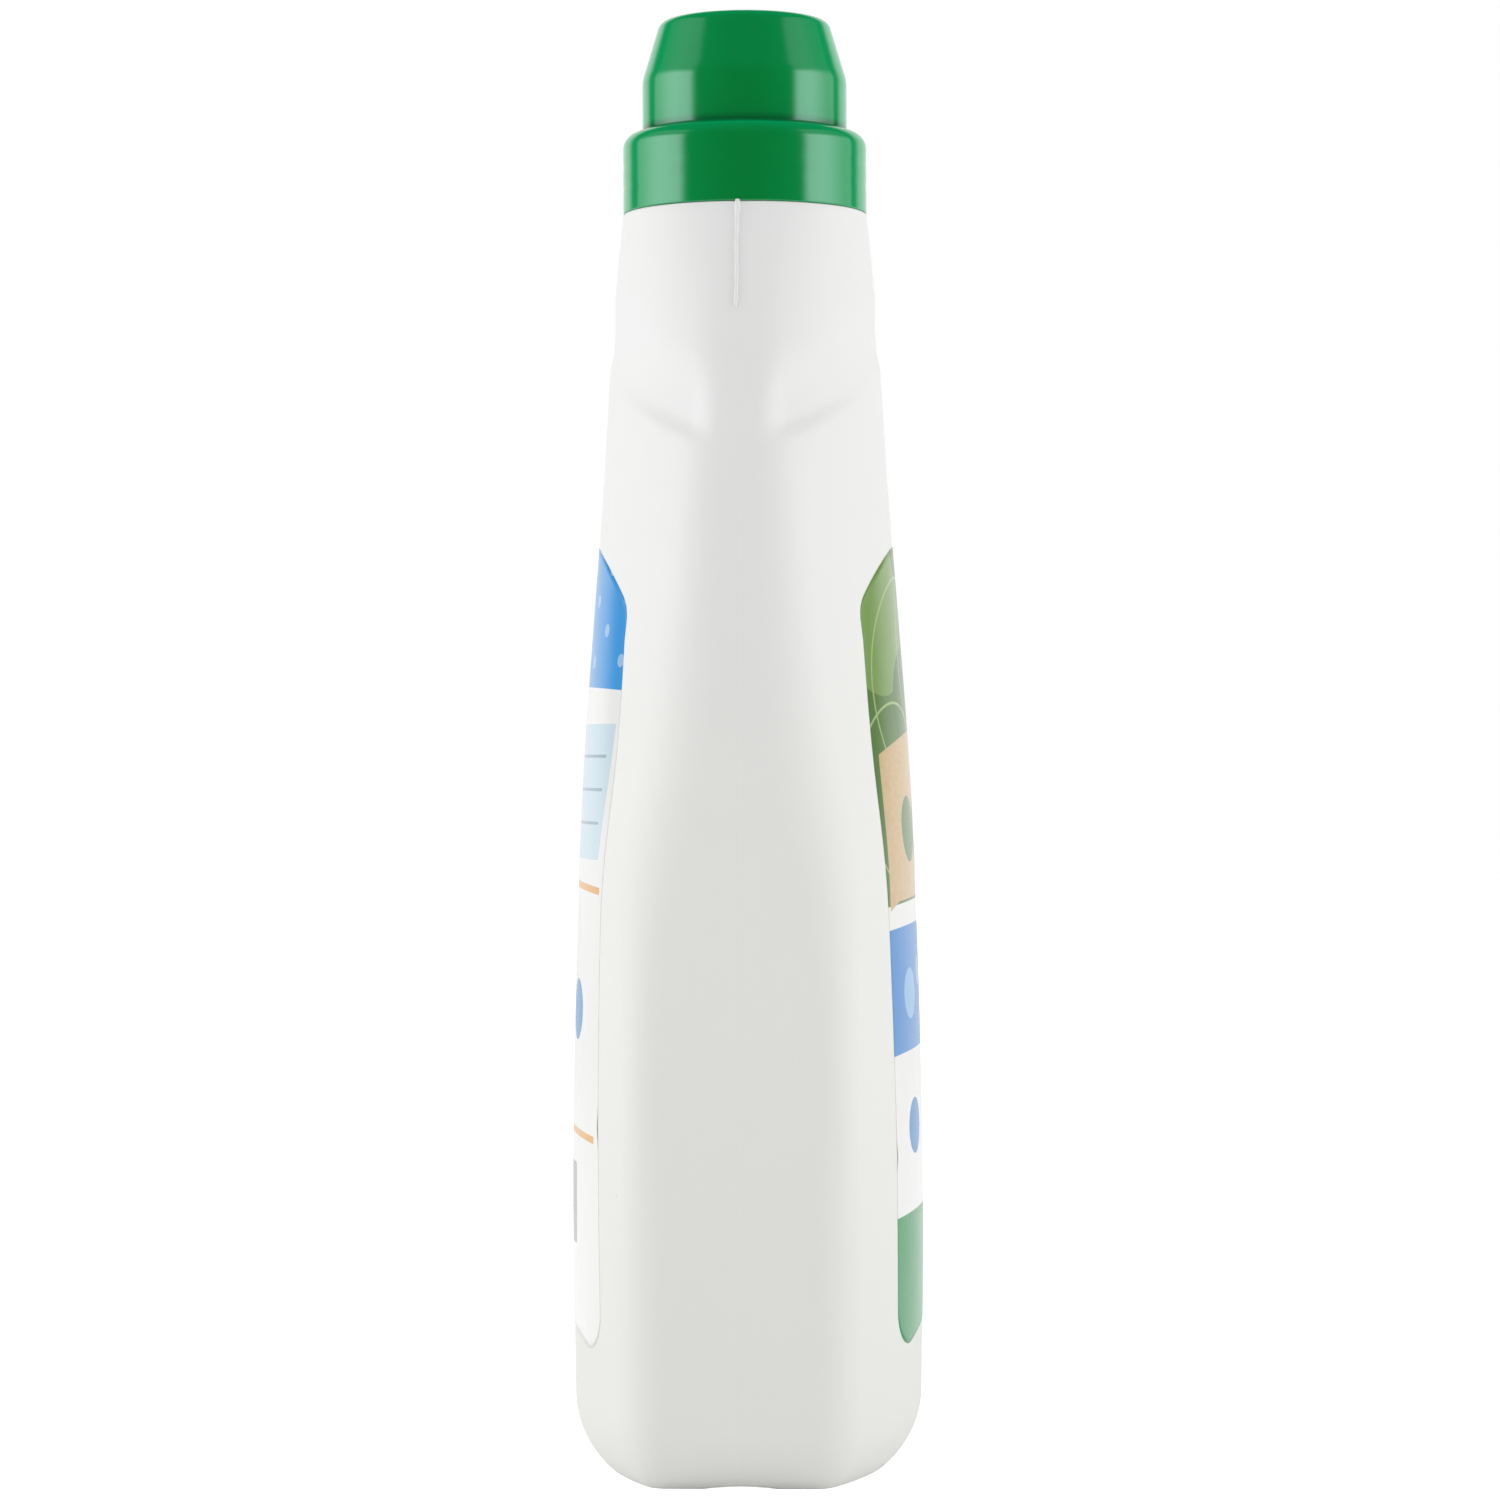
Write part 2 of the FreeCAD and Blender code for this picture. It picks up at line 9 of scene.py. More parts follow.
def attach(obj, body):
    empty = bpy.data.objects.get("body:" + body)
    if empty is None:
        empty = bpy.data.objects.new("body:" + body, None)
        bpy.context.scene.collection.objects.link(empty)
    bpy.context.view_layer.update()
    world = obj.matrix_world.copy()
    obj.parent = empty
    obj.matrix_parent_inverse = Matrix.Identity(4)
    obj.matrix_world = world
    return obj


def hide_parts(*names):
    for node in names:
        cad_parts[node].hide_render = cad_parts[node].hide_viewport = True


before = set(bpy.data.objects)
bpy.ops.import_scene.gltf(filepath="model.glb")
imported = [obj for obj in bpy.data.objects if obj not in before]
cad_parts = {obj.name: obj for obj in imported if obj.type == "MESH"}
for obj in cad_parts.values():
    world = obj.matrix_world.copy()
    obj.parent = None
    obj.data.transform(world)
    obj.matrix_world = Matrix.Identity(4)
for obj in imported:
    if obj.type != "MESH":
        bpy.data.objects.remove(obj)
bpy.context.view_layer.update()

# Blown bottle
# One hollow piece of white polyethylene, blown in a two-part mould: a flat oval body with a rounded
# heel and a hollow base, a shoulder that rises from a gabled crease, and a round neck. All sizes
# are in millimetres, and the pieces are scaled to metres as their meshes are made.

WALL = 1.1
HEEL_TOP = 13.5
HEEL_RADIUS = 18.0
THROAT = 247.5
SHOULDER_EDGE = 0.4
NECK_RADIUS = 21.0
NECK_BORE = 19.4
RIM = 261.0

# height, half width, half depth, half of the flat side, rise of the bowed face past the corner arc
BODY_SECTIONS = np.array(
    [
        (13.5, 49.6, 34.5, 14.2, 24.3),
        (55.0, 50.0, 34.8, 14.4, 24.8),
        (98.0, 49.5, 34.0, 14.0, 23.6),
        (118.0, 48.8, 33.3, 10.0, 18.0),
        (137.0, 47.7, 32.4, 5.4, 14.8),
        (160.0, 46.0, 30.8, 3.2, 14.8),
        (200.0, 39.5, 27.9, 2.6, 15.6),
        (226.0, 32.0, 26.3, 1.5, 11.5),
        (247.5, 24.3, 24.3, 0.4, 0.7),
    ]
)


def natural_spline(heights, values):
    """The smooth curve through measured values, as a function of height."""
    count = len(heights)
    steps = np.diff(heights)
    slopes = np.diff(values) / steps
    system = np.eye(count)
    right_side = np.zeros(count)
    for row in range(1, count - 1):
        system[row, row - 1] = steps[row - 1]
        system[row, row] = 2 * (steps[row - 1] + steps[row])
        system[row, row + 1] = steps[row]
        right_side[row] = 6 * (slopes[row] - slopes[row - 1])
    bends = np.linalg.solve(system, right_side)

    def value_at(height):
        span = int(np.clip(np.searchsorted(heights, height) - 1, 0, count - 2))
        step = steps[span]
        above = (heights[span + 1] - height) / step
        below = 1 - above
        straight = above * values[span] + below * values[span + 1]
        bend = (above**3 - above) * bends[span] + (below**3 - below) * bends[span + 1]
        return straight + bend * step**2 / 6

    return value_at


section_curves = [natural_spline(BODY_SECTIONS[:, 0], BODY_SECTIONS[:, k]) for k in (1, 2, 3, 4)]


def section_at(height):
    """Half width, half depth, half flat, corner radius, bow radius, bow centre and turn."""
    level = min(max(height, HEEL_TOP), THROAT)
    half_width, half_depth, half_flat, crown = [curve(level) for curve in section_curves]
    if height < HEEL_TOP:
        drop = HEEL_TOP - height
        inset = HEEL_RADIUS - math.sqrt(HEEL_RADIUS**2 - drop**2)
        half_width -= inset
        half_depth -= inset
    corner = half_depth - crown
    reach = half_width - corner
    bow_centre = (reach**2 + half_flat**2 - crown**2) / (2 * (half_flat - crown))
    bow = half_depth - bow_centre
    turn = math.atan2(half_flat - bow_centre, reach)
    return half_width, half_depth, half_flat, corner, bow, bow_centre, turn


FLAT_STEPS = 6
CORNER_STEPS = 28
BOW_STEPS = 30


def section_outline(height):
    """Points round a section and the outward direction at each, from the middle of the +X side."""
    half_width, half_depth, half_flat, corner, bow, bow_centre, turn = section_at(height)
    reach = half_width - corner
    quarter = []
    for share in np.linspace(0, 1, FLAT_STEPS, endpoint=False):
        quarter.append((half_width, share * half_flat, 1.0, 0.0))
    for angle in np.linspace(0, turn, CORNER_STEPS, endpoint=False):
        across, along = math.cos(angle), math.sin(angle)
        quarter.append((reach + corner * across, half_flat + corner * along, across, along))
    for angle in np.linspace(turn, math.pi / 2, BOW_STEPS + 1):
        across, along = math.cos(angle), math.sin(angle)
        quarter.append((bow * across, bow_centre + bow * along, across, along))
    right_half = np.array(quarter)
    left_half = right_half[-2:0:-1] * (-1, 1, -1, 1)
    back = np.concatenate([right_half, left_half])
    start = right_half[0] * (-1, 1, -1, 1)
    front = back[::-1] * (1, -1, 1, -1)
    return np.concatenate([back, [start], front[:-1]])


CREASE_PEAK = 220.6
CREASE_FALL = math.radians(27)
CREASE_ROUNDING = 14.0
CREASE_ABOVE = 1.4
CREASE_HOLD = 2.5
CREASE_DEPTH = 1.5


def crease_height(x):
    """The crease seen from the front: a gable with a rounded peak."""
    touch = CREASE_ROUNDING * math.sin(CREASE_FALL)
    centre = CREASE_PEAK - CREASE_ROUNDING / math.cos(CREASE_FALL)
    peak = centre + np.sqrt(CREASE_ROUNDING**2 - np.minimum(np.abs(x), touch) ** 2)
    slope = CREASE_PEAK - np.abs(x) * math.tan(CREASE_FALL)
    return np.where(np.abs(x) < touch, peak, slope)


def ease(share):
    """A smooth step from 0 to 1."""
    share = np.clip(share, 0, 1)
    return share * share * (3 - 2 * share)


def crease_depth(x, height, across, along):
    """How far the surface falls back at the crease.

    It starts 5 degrees round from the narrow side, is deepest at about 41 and gets shallower
    again towards the broad faces.
    """
    past = (height - crease_height(x)) * math.cos(CREASE_FALL)
    facing = np.degrees(np.arctan2(np.abs(along), np.abs(across)))
    depth = CREASE_DEPTH * ease((facing - 5) / 36) * (1 - 0.65 * ease((facing - 40) / 30))
    below = np.interp(facing, (0, 40, 90), (1.6, 1.6, 2.6))
    fade = np.interp(facing, (0, 40, 90), (10, 9.5, 7.5))
    rise = ease((past + below) / (below + CREASE_ABOVE))
    fall = 1 - ease((past - CREASE_ABOVE - CREASE_HOLD) / fade)
    return depth * np.where(past < CREASE_ABOVE, rise, fall)


PUSH_UP = (34.0, 19.0, 4.0)
WELD_RADIUS = 41.0
WELD_DEPTH = 0.6


def base_height(x, y):
    """The hollow under the base and the shallow channel along its weld."""
    ring = np.sqrt((x / PUSH_UP[0]) ** 2 + (y / PUSH_UP[1]) ** 2)
    hollow = PUSH_UP[2] * np.maximum(1 - np.minimum(ring, 1) ** 3, 0) ** 0.75
    y = np.minimum(np.abs(y), WELD_RADIUS)
    channel = np.maximum(WELD_DEPTH - WELD_RADIUS + np.sqrt(WELD_RADIUS**2 - y**2), 0)
    return np.maximum(hollow, channel)


def outer_ring(height):
    """One ring of the outside of the body, as an array of points."""
    x, y, across, along = section_outline(height).T
    back = crease_depth(x, height, across, along)
    heights = np.full_like(x, height)
    if height < 1:
        heights = np.maximum(heights, base_height(x, y))
    return np.stack([x - back * across, y - back * along, heights], axis=1)


def inner_ring(height):
    """One ring of the inside of the body."""
    x, y, across, along = section_outline(height).T
    back = WALL + crease_depth(x, height, across, along)
    return np.stack([x - back * across, y - back * along, np.full_like(x, height)], axis=1)


throat_outline = section_outline(THROAT)
throat_turns = np.arctan2(throat_outline[:, 1], throat_outline[:, 0])


def round_ring(radius, height):
    """One round ring of the neck, with its points at the same turns as the body's."""
    level = np.full_like(throat_turns, height)
    return np.stack([radius * np.cos(throat_turns), radius * np.sin(throat_turns), level], axis=1)


BASE_SHARES = [0.04, 0.12, 0.2, 0.28, 0.36, 0.44, 0.52, 0.58, 0.63, 0.67, 0.7, 0.73, 0.76, 0.79]
BASE_SHARES += [0.84, 0.9, 0.96]
HEEL_LEVELS = [0, 0.06, 0.15, 0.3, 0.5, 0.8, 1.2, 1.7, 2.4, 3.2, 4.2, 5.4, 6.8, 8.4, 10, 11.8]
BASE_FLOOR = 0.6

rings = []
foot_ring = outer_ring(0.0)
for share in BASE_SHARES:
    ring = foot_ring * (share, share, 0)
    ring[:, 2] = base_height(ring[:, 0], ring[:, 1])
    rings.append(ring)
rings += [outer_ring(height) for height in (*HEEL_LEVELS, HEEL_TOP, 15.5, 18)]
rings += [outer_ring(height) for height in np.arange(22, 190, 4)]
rings += [outer_ring(height) for height in np.arange(190, 246, 0.8)]
for turn in np.radians((0, 20, 40, 60, 78, 90)):
    edge_out = SHOULDER_EDGE * (1 - math.cos(turn))
    level = THROAT - SHOULDER_EDGE * (1 - math.sin(turn))
    ring = outer_ring(min(level, THROAT))
    outward = ring[:, :2] / np.linalg.norm(ring[:, :2], axis=1, keepdims=True)
    ring[:, :2] -= outward * edge_out
    ring[:, 2] = level
    rings.append(ring)
rings += [round_ring(NECK_RADIUS + 1.2, THROAT), round_ring(NECK_RADIUS + 0.3, THROAT + 0.2)]
rings += [round_ring(NECK_RADIUS, height) for height in (THROAT + 0.9, 252, 257, RIM - 0.5)]
rings += [round_ring(NECK_RADIUS - 0.2, RIM - 0.12), round_ring(NECK_RADIUS - 0.5, RIM)]
rings += [round_ring(NECK_BORE + 0.3, RIM), round_ring(NECK_BORE, RIM - 0.3)]
rings += [round_ring(NECK_BORE, height) for height in (256, 250, THROAT - WALL - 0.6)]
rings += [inner_ring(height) for height in (THROAT - WALL - 1.2, 243, 238, 232)]
rings += [inner_ring(height) for height in np.arange(228, 196, -2)]
rings += [inner_ring(height) for height in np.arange(194, 14, -12)]
rings += [inner_ring(height) for height in (14, 10, 6, 3.5)]
floor_ring = inner_ring(2.2)
for share in (1, 0.92, 0.8, 0.72, 0.6, 0.45, 0.3, 0.15, 0.05):
    ring = floor_ring * (share, share, 0)
    ring[:, 2] = np.maximum(base_height(ring[:, 0], ring[:, 1]), BASE_FLOOR) + WALL
    rings.append(ring)


def ring_faces(count, columns):
    """Faces between rings of points, each ring closed on itself."""
    faces = []
    for ring in range(count - 1):
        low = ring * columns
        high = low + columns
        for column in range(columns):
            following = (column + 1) % columns
            faces.append((low + column, low + following, high + following, high + column))
    return faces


def capped_faces(count, columns):
    """The same, with the first and the last ring closed by a face."""
    last = (count - 1) * columns
    faces = ring_faces(count, columns)
    faces.append(tuple(range(columns)))
    faces.append(tuple(range(last, last + columns)))
    return faces


def make_piece(name, points, faces, material, body, node=None):
    """A smooth mesh from points in millimetres that rides on a body."""
    shape = bmesh.new()
    corners = [shape.verts.new(Vector(point) * 0.001) for point in points]
    for face in faces:
        shape.faces.new([corners[corner] for corner in face])
    bmesh.ops.recalc_face_normals(shape, faces=shape.faces)
    for face in shape.faces:
        face.smooth = True
    mesh = bpy.data.meshes.new(name)
    shape.to_mesh(mesh)
    shape.free()
    mesh.materials.append(material)
    piece = bpy.data.objects.new(name, mesh)
    bpy.context.scene.collection.objects.link(piece)
    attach(piece, body)
    if node:
        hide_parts(node)
    return piece


def new_material(name, colour, roughness):
    """A Principled material with its node tree, its shader and the piece's own coordinates."""
    material = bpy.data.materials.new(name)
    material.use_nodes = True
    tree = material.node_tree
    shader = tree.nodes["Principled BSDF"]
    shader.inputs["Base Color"].default_value = (*colour, 1)
    shader.inputs["Roughness"].default_value = roughness
    shader.inputs["IOR"].default_value = 1.5
    place = tree.nodes.new("ShaderNodeTexCoord").outputs["Object"]
    return material, tree, shader, place


def calculate(tree, operation, first, second=0.0, third=0.0):
    """A Math node. Its inputs are sockets or plain numbers."""
    node = tree.nodes.new("ShaderNodeMath")
    node.operation = operation
    for socket, value in zip(node.inputs, (first, second, third)):
        if isinstance(value, bpy.types.NodeSocket):
            tree.links.new(value, socket)
        else:
            socket.default_value = value
    return node.outputs[0]


def new_group(name, inputs, outputs):
    """A node group with float or vector inputs and float outputs."""
    group = bpy.data.node_groups.new(name, "ShaderNodeTree")
    for title, kind in inputs:
        group.interface.new_socket(title, in_out="INPUT", socket_type=kind)
    for title in outputs:
        group.interface.new_socket(title, in_out="OUTPUT", socket_type="NodeSocketFloat")
    start = group.nodes.new("NodeGroupInput")
    end = group.nodes.new("NodeGroupOutput")
    return group, start.outputs, end.inputs


def noise(tree, place, scale, detail=2.0):
    """A Noise Texture node at a place."""
    node = tree.nodes.new("ShaderNodeTexNoise")
    node.inputs["Scale"].default_value = scale
    node.inputs["Detail"].default_value = detail
    tree.links.new(place, node.inputs["Vector"])
    return node


# skin of a moulded piece: a slow swell, the fine texture of the mould and a drift in its gloss
skin_group, skin_in, skin_out = new_group(
    "moulded_skin",
    [("Place", "NodeSocketVector"), ("Swell", "NodeSocketFloat"), ("Grain", "NodeSocketFloat")],
    ["Height", "Gloss drift"],
)
swell = noise(skin_group, skin_in["Place"], 55, 1.0)
grain = noise(skin_group, skin_in["Place"], 1700, 2.0)
drift = noise(skin_group, skin_in["Place"], 120, 3.0)
swell_height = calculate(skin_group, "MULTIPLY", swell.outputs["Fac"], skin_in["Swell"])
skin_height = calculate(skin_group, "MULTIPLY_ADD", grain.outputs["Fac"], skin_in["Grain"], swell_height)
skin_group.links.new(skin_height, skin_out["Height"])
skin_group.links.new(calculate(skin_group, "SUBTRACT", drift.outputs["Fac"], 0.5), skin_out["Gloss drift"])


def add_skin(tree, shader, place, swell, grain, drift, more_height=None):
    """Gives a material the moulded skin, with its depths in millimetres, on its own roughness."""
    skin = tree.nodes.new("ShaderNodeGroup")
    skin.node_tree = skin_group
    tree.links.new(place, skin.inputs["Place"])
    skin.inputs["Swell"].default_value = swell
    skin.inputs["Grain"].default_value = grain
    height = skin.outputs["Height"]
    if more_height is not None:
        height = calculate(tree, "ADD", height, more_height)
    bump = tree.nodes.new("ShaderNodeBump")
    bump.inputs["Strength"].default_value = 1
    bump.inputs["Distance"].default_value = 0.001
    tree.links.new(height, bump.inputs["Height"])
    tree.links.new(bump.outputs["Normal"], shader.inputs["Normal"])
    roughness = shader.inputs["Roughness"].default_value
    gloss = calculate(tree, "MULTIPLY_ADD", skin.outputs["Gloss drift"], drift, roughness)
    tree.links.new(gloss, shader.inputs["Roughness"])


def mix_colours(tree, share, first, second):
    """Mixes two colours by a share. Each is a socket or three plain numbers."""
    node = tree.nodes.new("ShaderNodeMix")
    node.data_type = "RGBA"
    tree.links.new(share, node.inputs["Factor"])
    for socket, value in ((node.inputs["A"], first), (node.inputs["B"], second)):
        if isinstance(value, bpy.types.NodeSocket):
            tree.links.new(value, socket)
        else:
            socket.default_value = (*value, 1)
    return node.outputs["Result"]


# the polyethylene: satin white, with the odd dark speck and the faint line where the mould parts
SPECK = (0.3, 0.28, 0.24)
PART_LINE_HEIGHT = 0.03
bottle_white, tree, shader, place = new_material("bottle_white", (0.85, 0.855, 0.84), 0.6)
specks = tree.nodes.new("ShaderNodeTexVoronoi")
specks.inputs["Scale"].default_value = 95
tree.links.new(place, specks.inputs["Vector"])
speck_core = calculate(tree, "LESS_THAN", specks.outputs["Distance"], 0.028)
cell = tree.nodes.new("ShaderNodeSeparateColor")
tree.links.new(specks.outputs["Color"], cell.inputs[0])
speck_cell = calculate(tree, "GREATER_THAN", cell.outputs[0], 0.72)
speck_share = calculate(tree, "MULTIPLY", speck_core, speck_cell)
cloud = noise(tree, place, 28, 2.0)
axes = tree.nodes.new("ShaderNodeSeparateXYZ")
tree.links.new(place, axes.inputs[0])
# painted shade: the white is darker and a little yellower towards the bottom, where less light falls on it
shade_by_height = tree.nodes.new("ShaderNodeValToRGB")
tree.links.new(calculate(tree, "DIVIDE", axes.outputs["Z"], RIM / 1000), shade_by_height.inputs["Fac"])
shade_tones = shade_by_height.color_ramp.elements
shade_tones[0].position = 0.1
shade_tones[0].color = (0.822, 0.828, 0.785, 1)
shade_tones[1].position = 0.8
shade_tones[1].color = (0.86, 0.86, 0.864, 1)
for place_up, tone in ((0.38, (0.856, 0.863, 0.818, 1)), (0.56, (0.857, 0.863, 0.83, 1))):
    shade_tones.new(place_up).color = tone
clouded = mix_colours(tree, cloud.outputs["Fac"], shade_by_height.outputs["Color"], (0.838, 0.843, 0.82))
speck_share = calculate(tree, "MULTIPLY", speck_share, 0.55)
tree.links.new(mix_colours(tree, speck_share, clouded, SPECK), shader.inputs["Base Color"])
off_line = calculate(tree, "MULTIPLY", calculate(tree, "ABSOLUTE", axes.outputs["Y"]), 4000)
part_line = calculate(tree, "SUBTRACT", 1, calculate(tree, "MINIMUM", off_line, 1))
part_line = calculate(tree, "MULTIPLY", part_line, PART_LINE_HEIGHT)
add_skin(tree, shader, place, 0.25, 0.004, 0.12, part_line)

COLUMNS = len(throat_turns)
make_piece(
    "blown_bottle",
    np.concatenate(rings),
    capped_faces(len(rings), COLUMNS),
    bottle_white,
    "bottle",
    "bottle",
)


# Marks of the mould
# Where the two halves of the mould met, plastic was squeezed out: a thin, slightly wavy flash runs
# down each narrow side from the neck, and a welded ridge crosses the base.


def swept_bar(name, stations, profile, material, body):
    """A closed bar along stations of (centre, across, outwards, share of its full size)."""
    points = []
    for centre, across, outwards, share in stations:
        for sideways, proud in profile:
            points.append(centre + across * sideways * share + outwards * proud * share)
    faces = capped_faces(len(stations), len(profile))
    return make_piece(name, points, faces, material, body)


FLASH_TOP = 247.7
FLASH_FOOT = 225.8
FLASH_BEAD = 246.2
FLASH_PROFILE = [(-0.45, -0.1), (-0.4, 0.22), (-0.2, 0.45), (0.16, 0.5), (0.38, 0.26), (0.45, -0.1)]
for side, offset in ((-1, 0.55), (1, -0.3)):
    stations = []
    for level in np.linspace(FLASH_TOP, FLASH_FOOT, 70):
        half_width = section_at(level)[0]
        wave = offset + 0.06 * math.sin(level * 0.4) + 0.02 * math.sin(level * 1.9)
        share = 0.86 + 0.04 * math.sin(level * 1.3 + offset)
        share += 0.55 * math.exp(-(((level - FLASH_BEAD) / 1.3) ** 2))
        share *= min(1, (level - FLASH_FOOT) / 1.5 + 0.3)
        centre = Vector((side * half_width, wave, level))
        stations.append((centre, Vector((0, 1, 0)), Vector((side, 0, 0.25)).normalized(), share))
    name = "flash_left" if side < 0 else "flash_right"
    swept_bar(name, stations, FLASH_PROFILE, bottle_white, "bottle")

WELD_HALF = 39
WELD_PROFILE = [(-0.6, 0.2), (-0.45, -0.12), (-0.15, -0.34), (0.2, -0.3), (0.5, -0.1), (0.6, 0.2)]
stations = []
for x in np.linspace(-WELD_HALF, WELD_HALF, 90):
    share = min(1, (WELD_HALF - abs(x)) / 2 + 0.2) * (0.9 + 0.12 * math.sin(x * 1.7))
    centre = Vector((x, 0.1 * math.sin(x * 0.9), float(base_height(x, 0.0))))
    stations.append((centre, Vector((0, 1, 0)), Vector((0, 0, 1)), share))
swept_bar("base_weld", stations, WELD_PROFILE, bottle_white, "bottle")


# Screw threads
# The neck carries a blown thread of one and a half turns and the cap a moulded one that runs under
# it. They are plain trapezoid ridges that fade out at their ends.

THREAD_PITCH = 4.25
NECK_THREAD_FOOT = 252.0
THREAD_TURNS = 1.5
THREAD_PROFILE = [(-1.0, -0.15), (-0.45, 1.0), (0.45, 1.0), (1.0, -0.15)]


def thread_stations(radius, foot, inwards):
    """Stations of a helical ridge on a round wall of a radius."""
    stations = []
    steps = 150
    for step in range(steps + 1):
        turn = 2 * math.pi * THREAD_TURNS * step / steps
        share = min(1, 0.15 + 12 * step / steps, 0.15 + 12 * (steps - step) / steps)
        outwards = Vector((math.cos(turn), math.sin(turn), 0))
        level = foot + THREAD_PITCH * turn / (2 * math.pi)
        centre = outwards * radius + Vector((0, 0, level))
        stations.append((centre, Vector((0, 0, 1)), -outwards if inwards else outwards, share))
    return stations


swept_bar(
    "neck_thread",
    thread_stations(NECK_RADIUS, NECK_THREAD_FOOT, False),
    THREAD_PROFILE,
    bottle_white,
    "bottle",
)


# Pouring insert
# A thin moulded polyethylene part pressed into the neck: a flange on the rim, a plug, a trough for
# drips and a slanted spout that is open down its low side, so that drips run back.

FLANGE_RADIUS = 20.9
FLANGE_TOP = 262.0
PLUG_INNER = 18.4
TROUGH_BOTTOM = 247.0
TROUGH_FLOOR = 248.0
SPOUT_RADIUS = 12.0
SPOUT_INNER = 11.0
LIP = 277.0
SPOUT_SLOPE = math.radians(24)
SLOT_HALF = 3.5


def rounded_outline(corners, steps=7):
    """An outline of (radius, height, rounding) corners with an arc in place of each rounded one."""
    outline = []
    count = len(corners)
    for index, (radius, height, rounding) in enumerate(corners):
        here = Vector((radius, height))
        if not rounding:
            outline.append(here)
            continue
        before = Vector(corners[index - 1][:2]) - here
        after = Vector(corners[(index + 1) % count][:2]) - here
        before.normalize()
        after.normalize()
        half = before.angle(after) / 2
        centre = here + (before + after).normalized() * rounding / math.sin(half)
        start = here + before * rounding / math.tan(half) - centre
        end = here + after * rounding / math.tan(half) - centre
        sweep = start.angle_signed(end)
        for step in range(steps + 1):
            share = sweep * step / steps
            turned = Matrix.Rotation(-share, 2) @ start
            outline.append(centre + turned)
    return outline


def finely_cut(outline, longest):
    """The outline with points added so that no straight of it is longer than a limit."""
    cut = []
    for index, start in enumerate(outline[:-1]):
        end = outline[index + 1]
        pieces = max(1, math.ceil((end - start).length / longest))
        cut += [start.lerp(end, piece / pieces) for piece in range(pieces)]
    cut.append(outline[-1])
    return cut


def turned_points(outline, columns, shrink=None):
    """Rings of points round the Z axis, one for each point of the outline."""
    points = []
    for corner in outline:
        for column in range(columns):
            turn = 2 * math.pi * column / columns
            radius = corner.x
            if shrink:
                radius -= shrink(radius, corner.y, turn)
            points.append((radius * math.cos(turn), radius * math.sin(turn), corner.y))
    return points


insert_white, tree, shader, place = new_material("insert_white", (0.8, 0.815, 0.8), 0.36)
insert_cloud = noise(tree, place, 60, 2.0)
insert_tone = mix_colours(tree, insert_cloud.outputs["Fac"], (0.8, 0.82, 0.8), (0.76, 0.78, 0.765))
tree.links.new(insert_tone, shader.inputs["Base Color"])
add_skin(tree, shader, place, 0.06, 0.003, 0.1)

insert_outline = rounded_outline(
    [
        (NECK_BORE, RIM, 0.3),
        (FLANGE_RADIUS, RIM, 0.25),
        (FLANGE_RADIUS, FLANGE_TOP, 0.4),
        (PLUG_INNER, FLANGE_TOP, 0.5),
        (PLUG_INNER, TROUGH_FLOOR, 0.8),
        (SPOUT_INNER, TROUGH_FLOOR, 0.2),
        (SPOUT_INNER, TROUGH_BOTTOM, 0.2),
        (NECK_BORE, TROUGH_BOTTOM, 0.5),
    ],
    5,
)
INSERT_COLUMNS = 144
insert_points = turned_points(insert_outline, INSERT_COLUMNS)
insert_count = len(insert_outline)
insert_faces = ring_faces(insert_count, INSERT_COLUMNS)
last = (insert_count - 1) * INSERT_COLUMNS
for column in range(INSERT_COLUMNS):
    following = (column + 1) % INSERT_COLUMNS
    insert_faces.append((last + column, last + following, following, column))

slot_turn = math.asin(SLOT_HALF / SPOUT_RADIUS)
spout_start = len(insert_points)
SPOUT_COLUMNS = 120
for column in range(SPOUT_COLUMNS + 1):
    turn = slot_turn + (2 * math.pi - 2 * slot_turn) * column / SPOUT_COLUMNS
    across, along = -math.cos(turn), -math.sin(turn)
    lip = LIP - SPOUT_RADIUS * (1 - across) * math.tan(SPOUT_SLOPE)
    wall = [
        (SPOUT_RADIUS, TROUGH_FLOOR - 0.4),
        (SPOUT_RADIUS, TROUGH_FLOOR + 6),
        (SPOUT_RADIUS, lip - 3),
        (SPOUT_RADIUS - 0.05, lip - 0.5),
        (SPOUT_RADIUS - 0.25, lip - 0.1),
        (SPOUT_RADIUS - 0.5, lip),
        (SPOUT_INNER + 0.2, lip - 0.25),
        (SPOUT_INNER + 0.04, lip - 0.7),
        (SPOUT_INNER, lip - 3),
        (SPOUT_INNER, TROUGH_FLOOR - 0.4),
    ]
    insert_points += [(radius * across, radius * along, level) for radius, level in wall]
spout_faces = capped_faces(SPOUT_COLUMNS + 1, len(wall))
insert_faces += [tuple(corner + spout_start for corner in face) for face in spout_faces]
make_piece(
    "pouring_insert",
    insert_points,
    insert_faces,
    insert_white,
    "bottle",
    "pour_spout",
)


# Dosing cap
# One glossy moulding of green polypropylene: a threaded collar, a step and a tapered cup that is
# turned over to measure a dose. The thread inside has drawn faint rings into the collar's gloss.

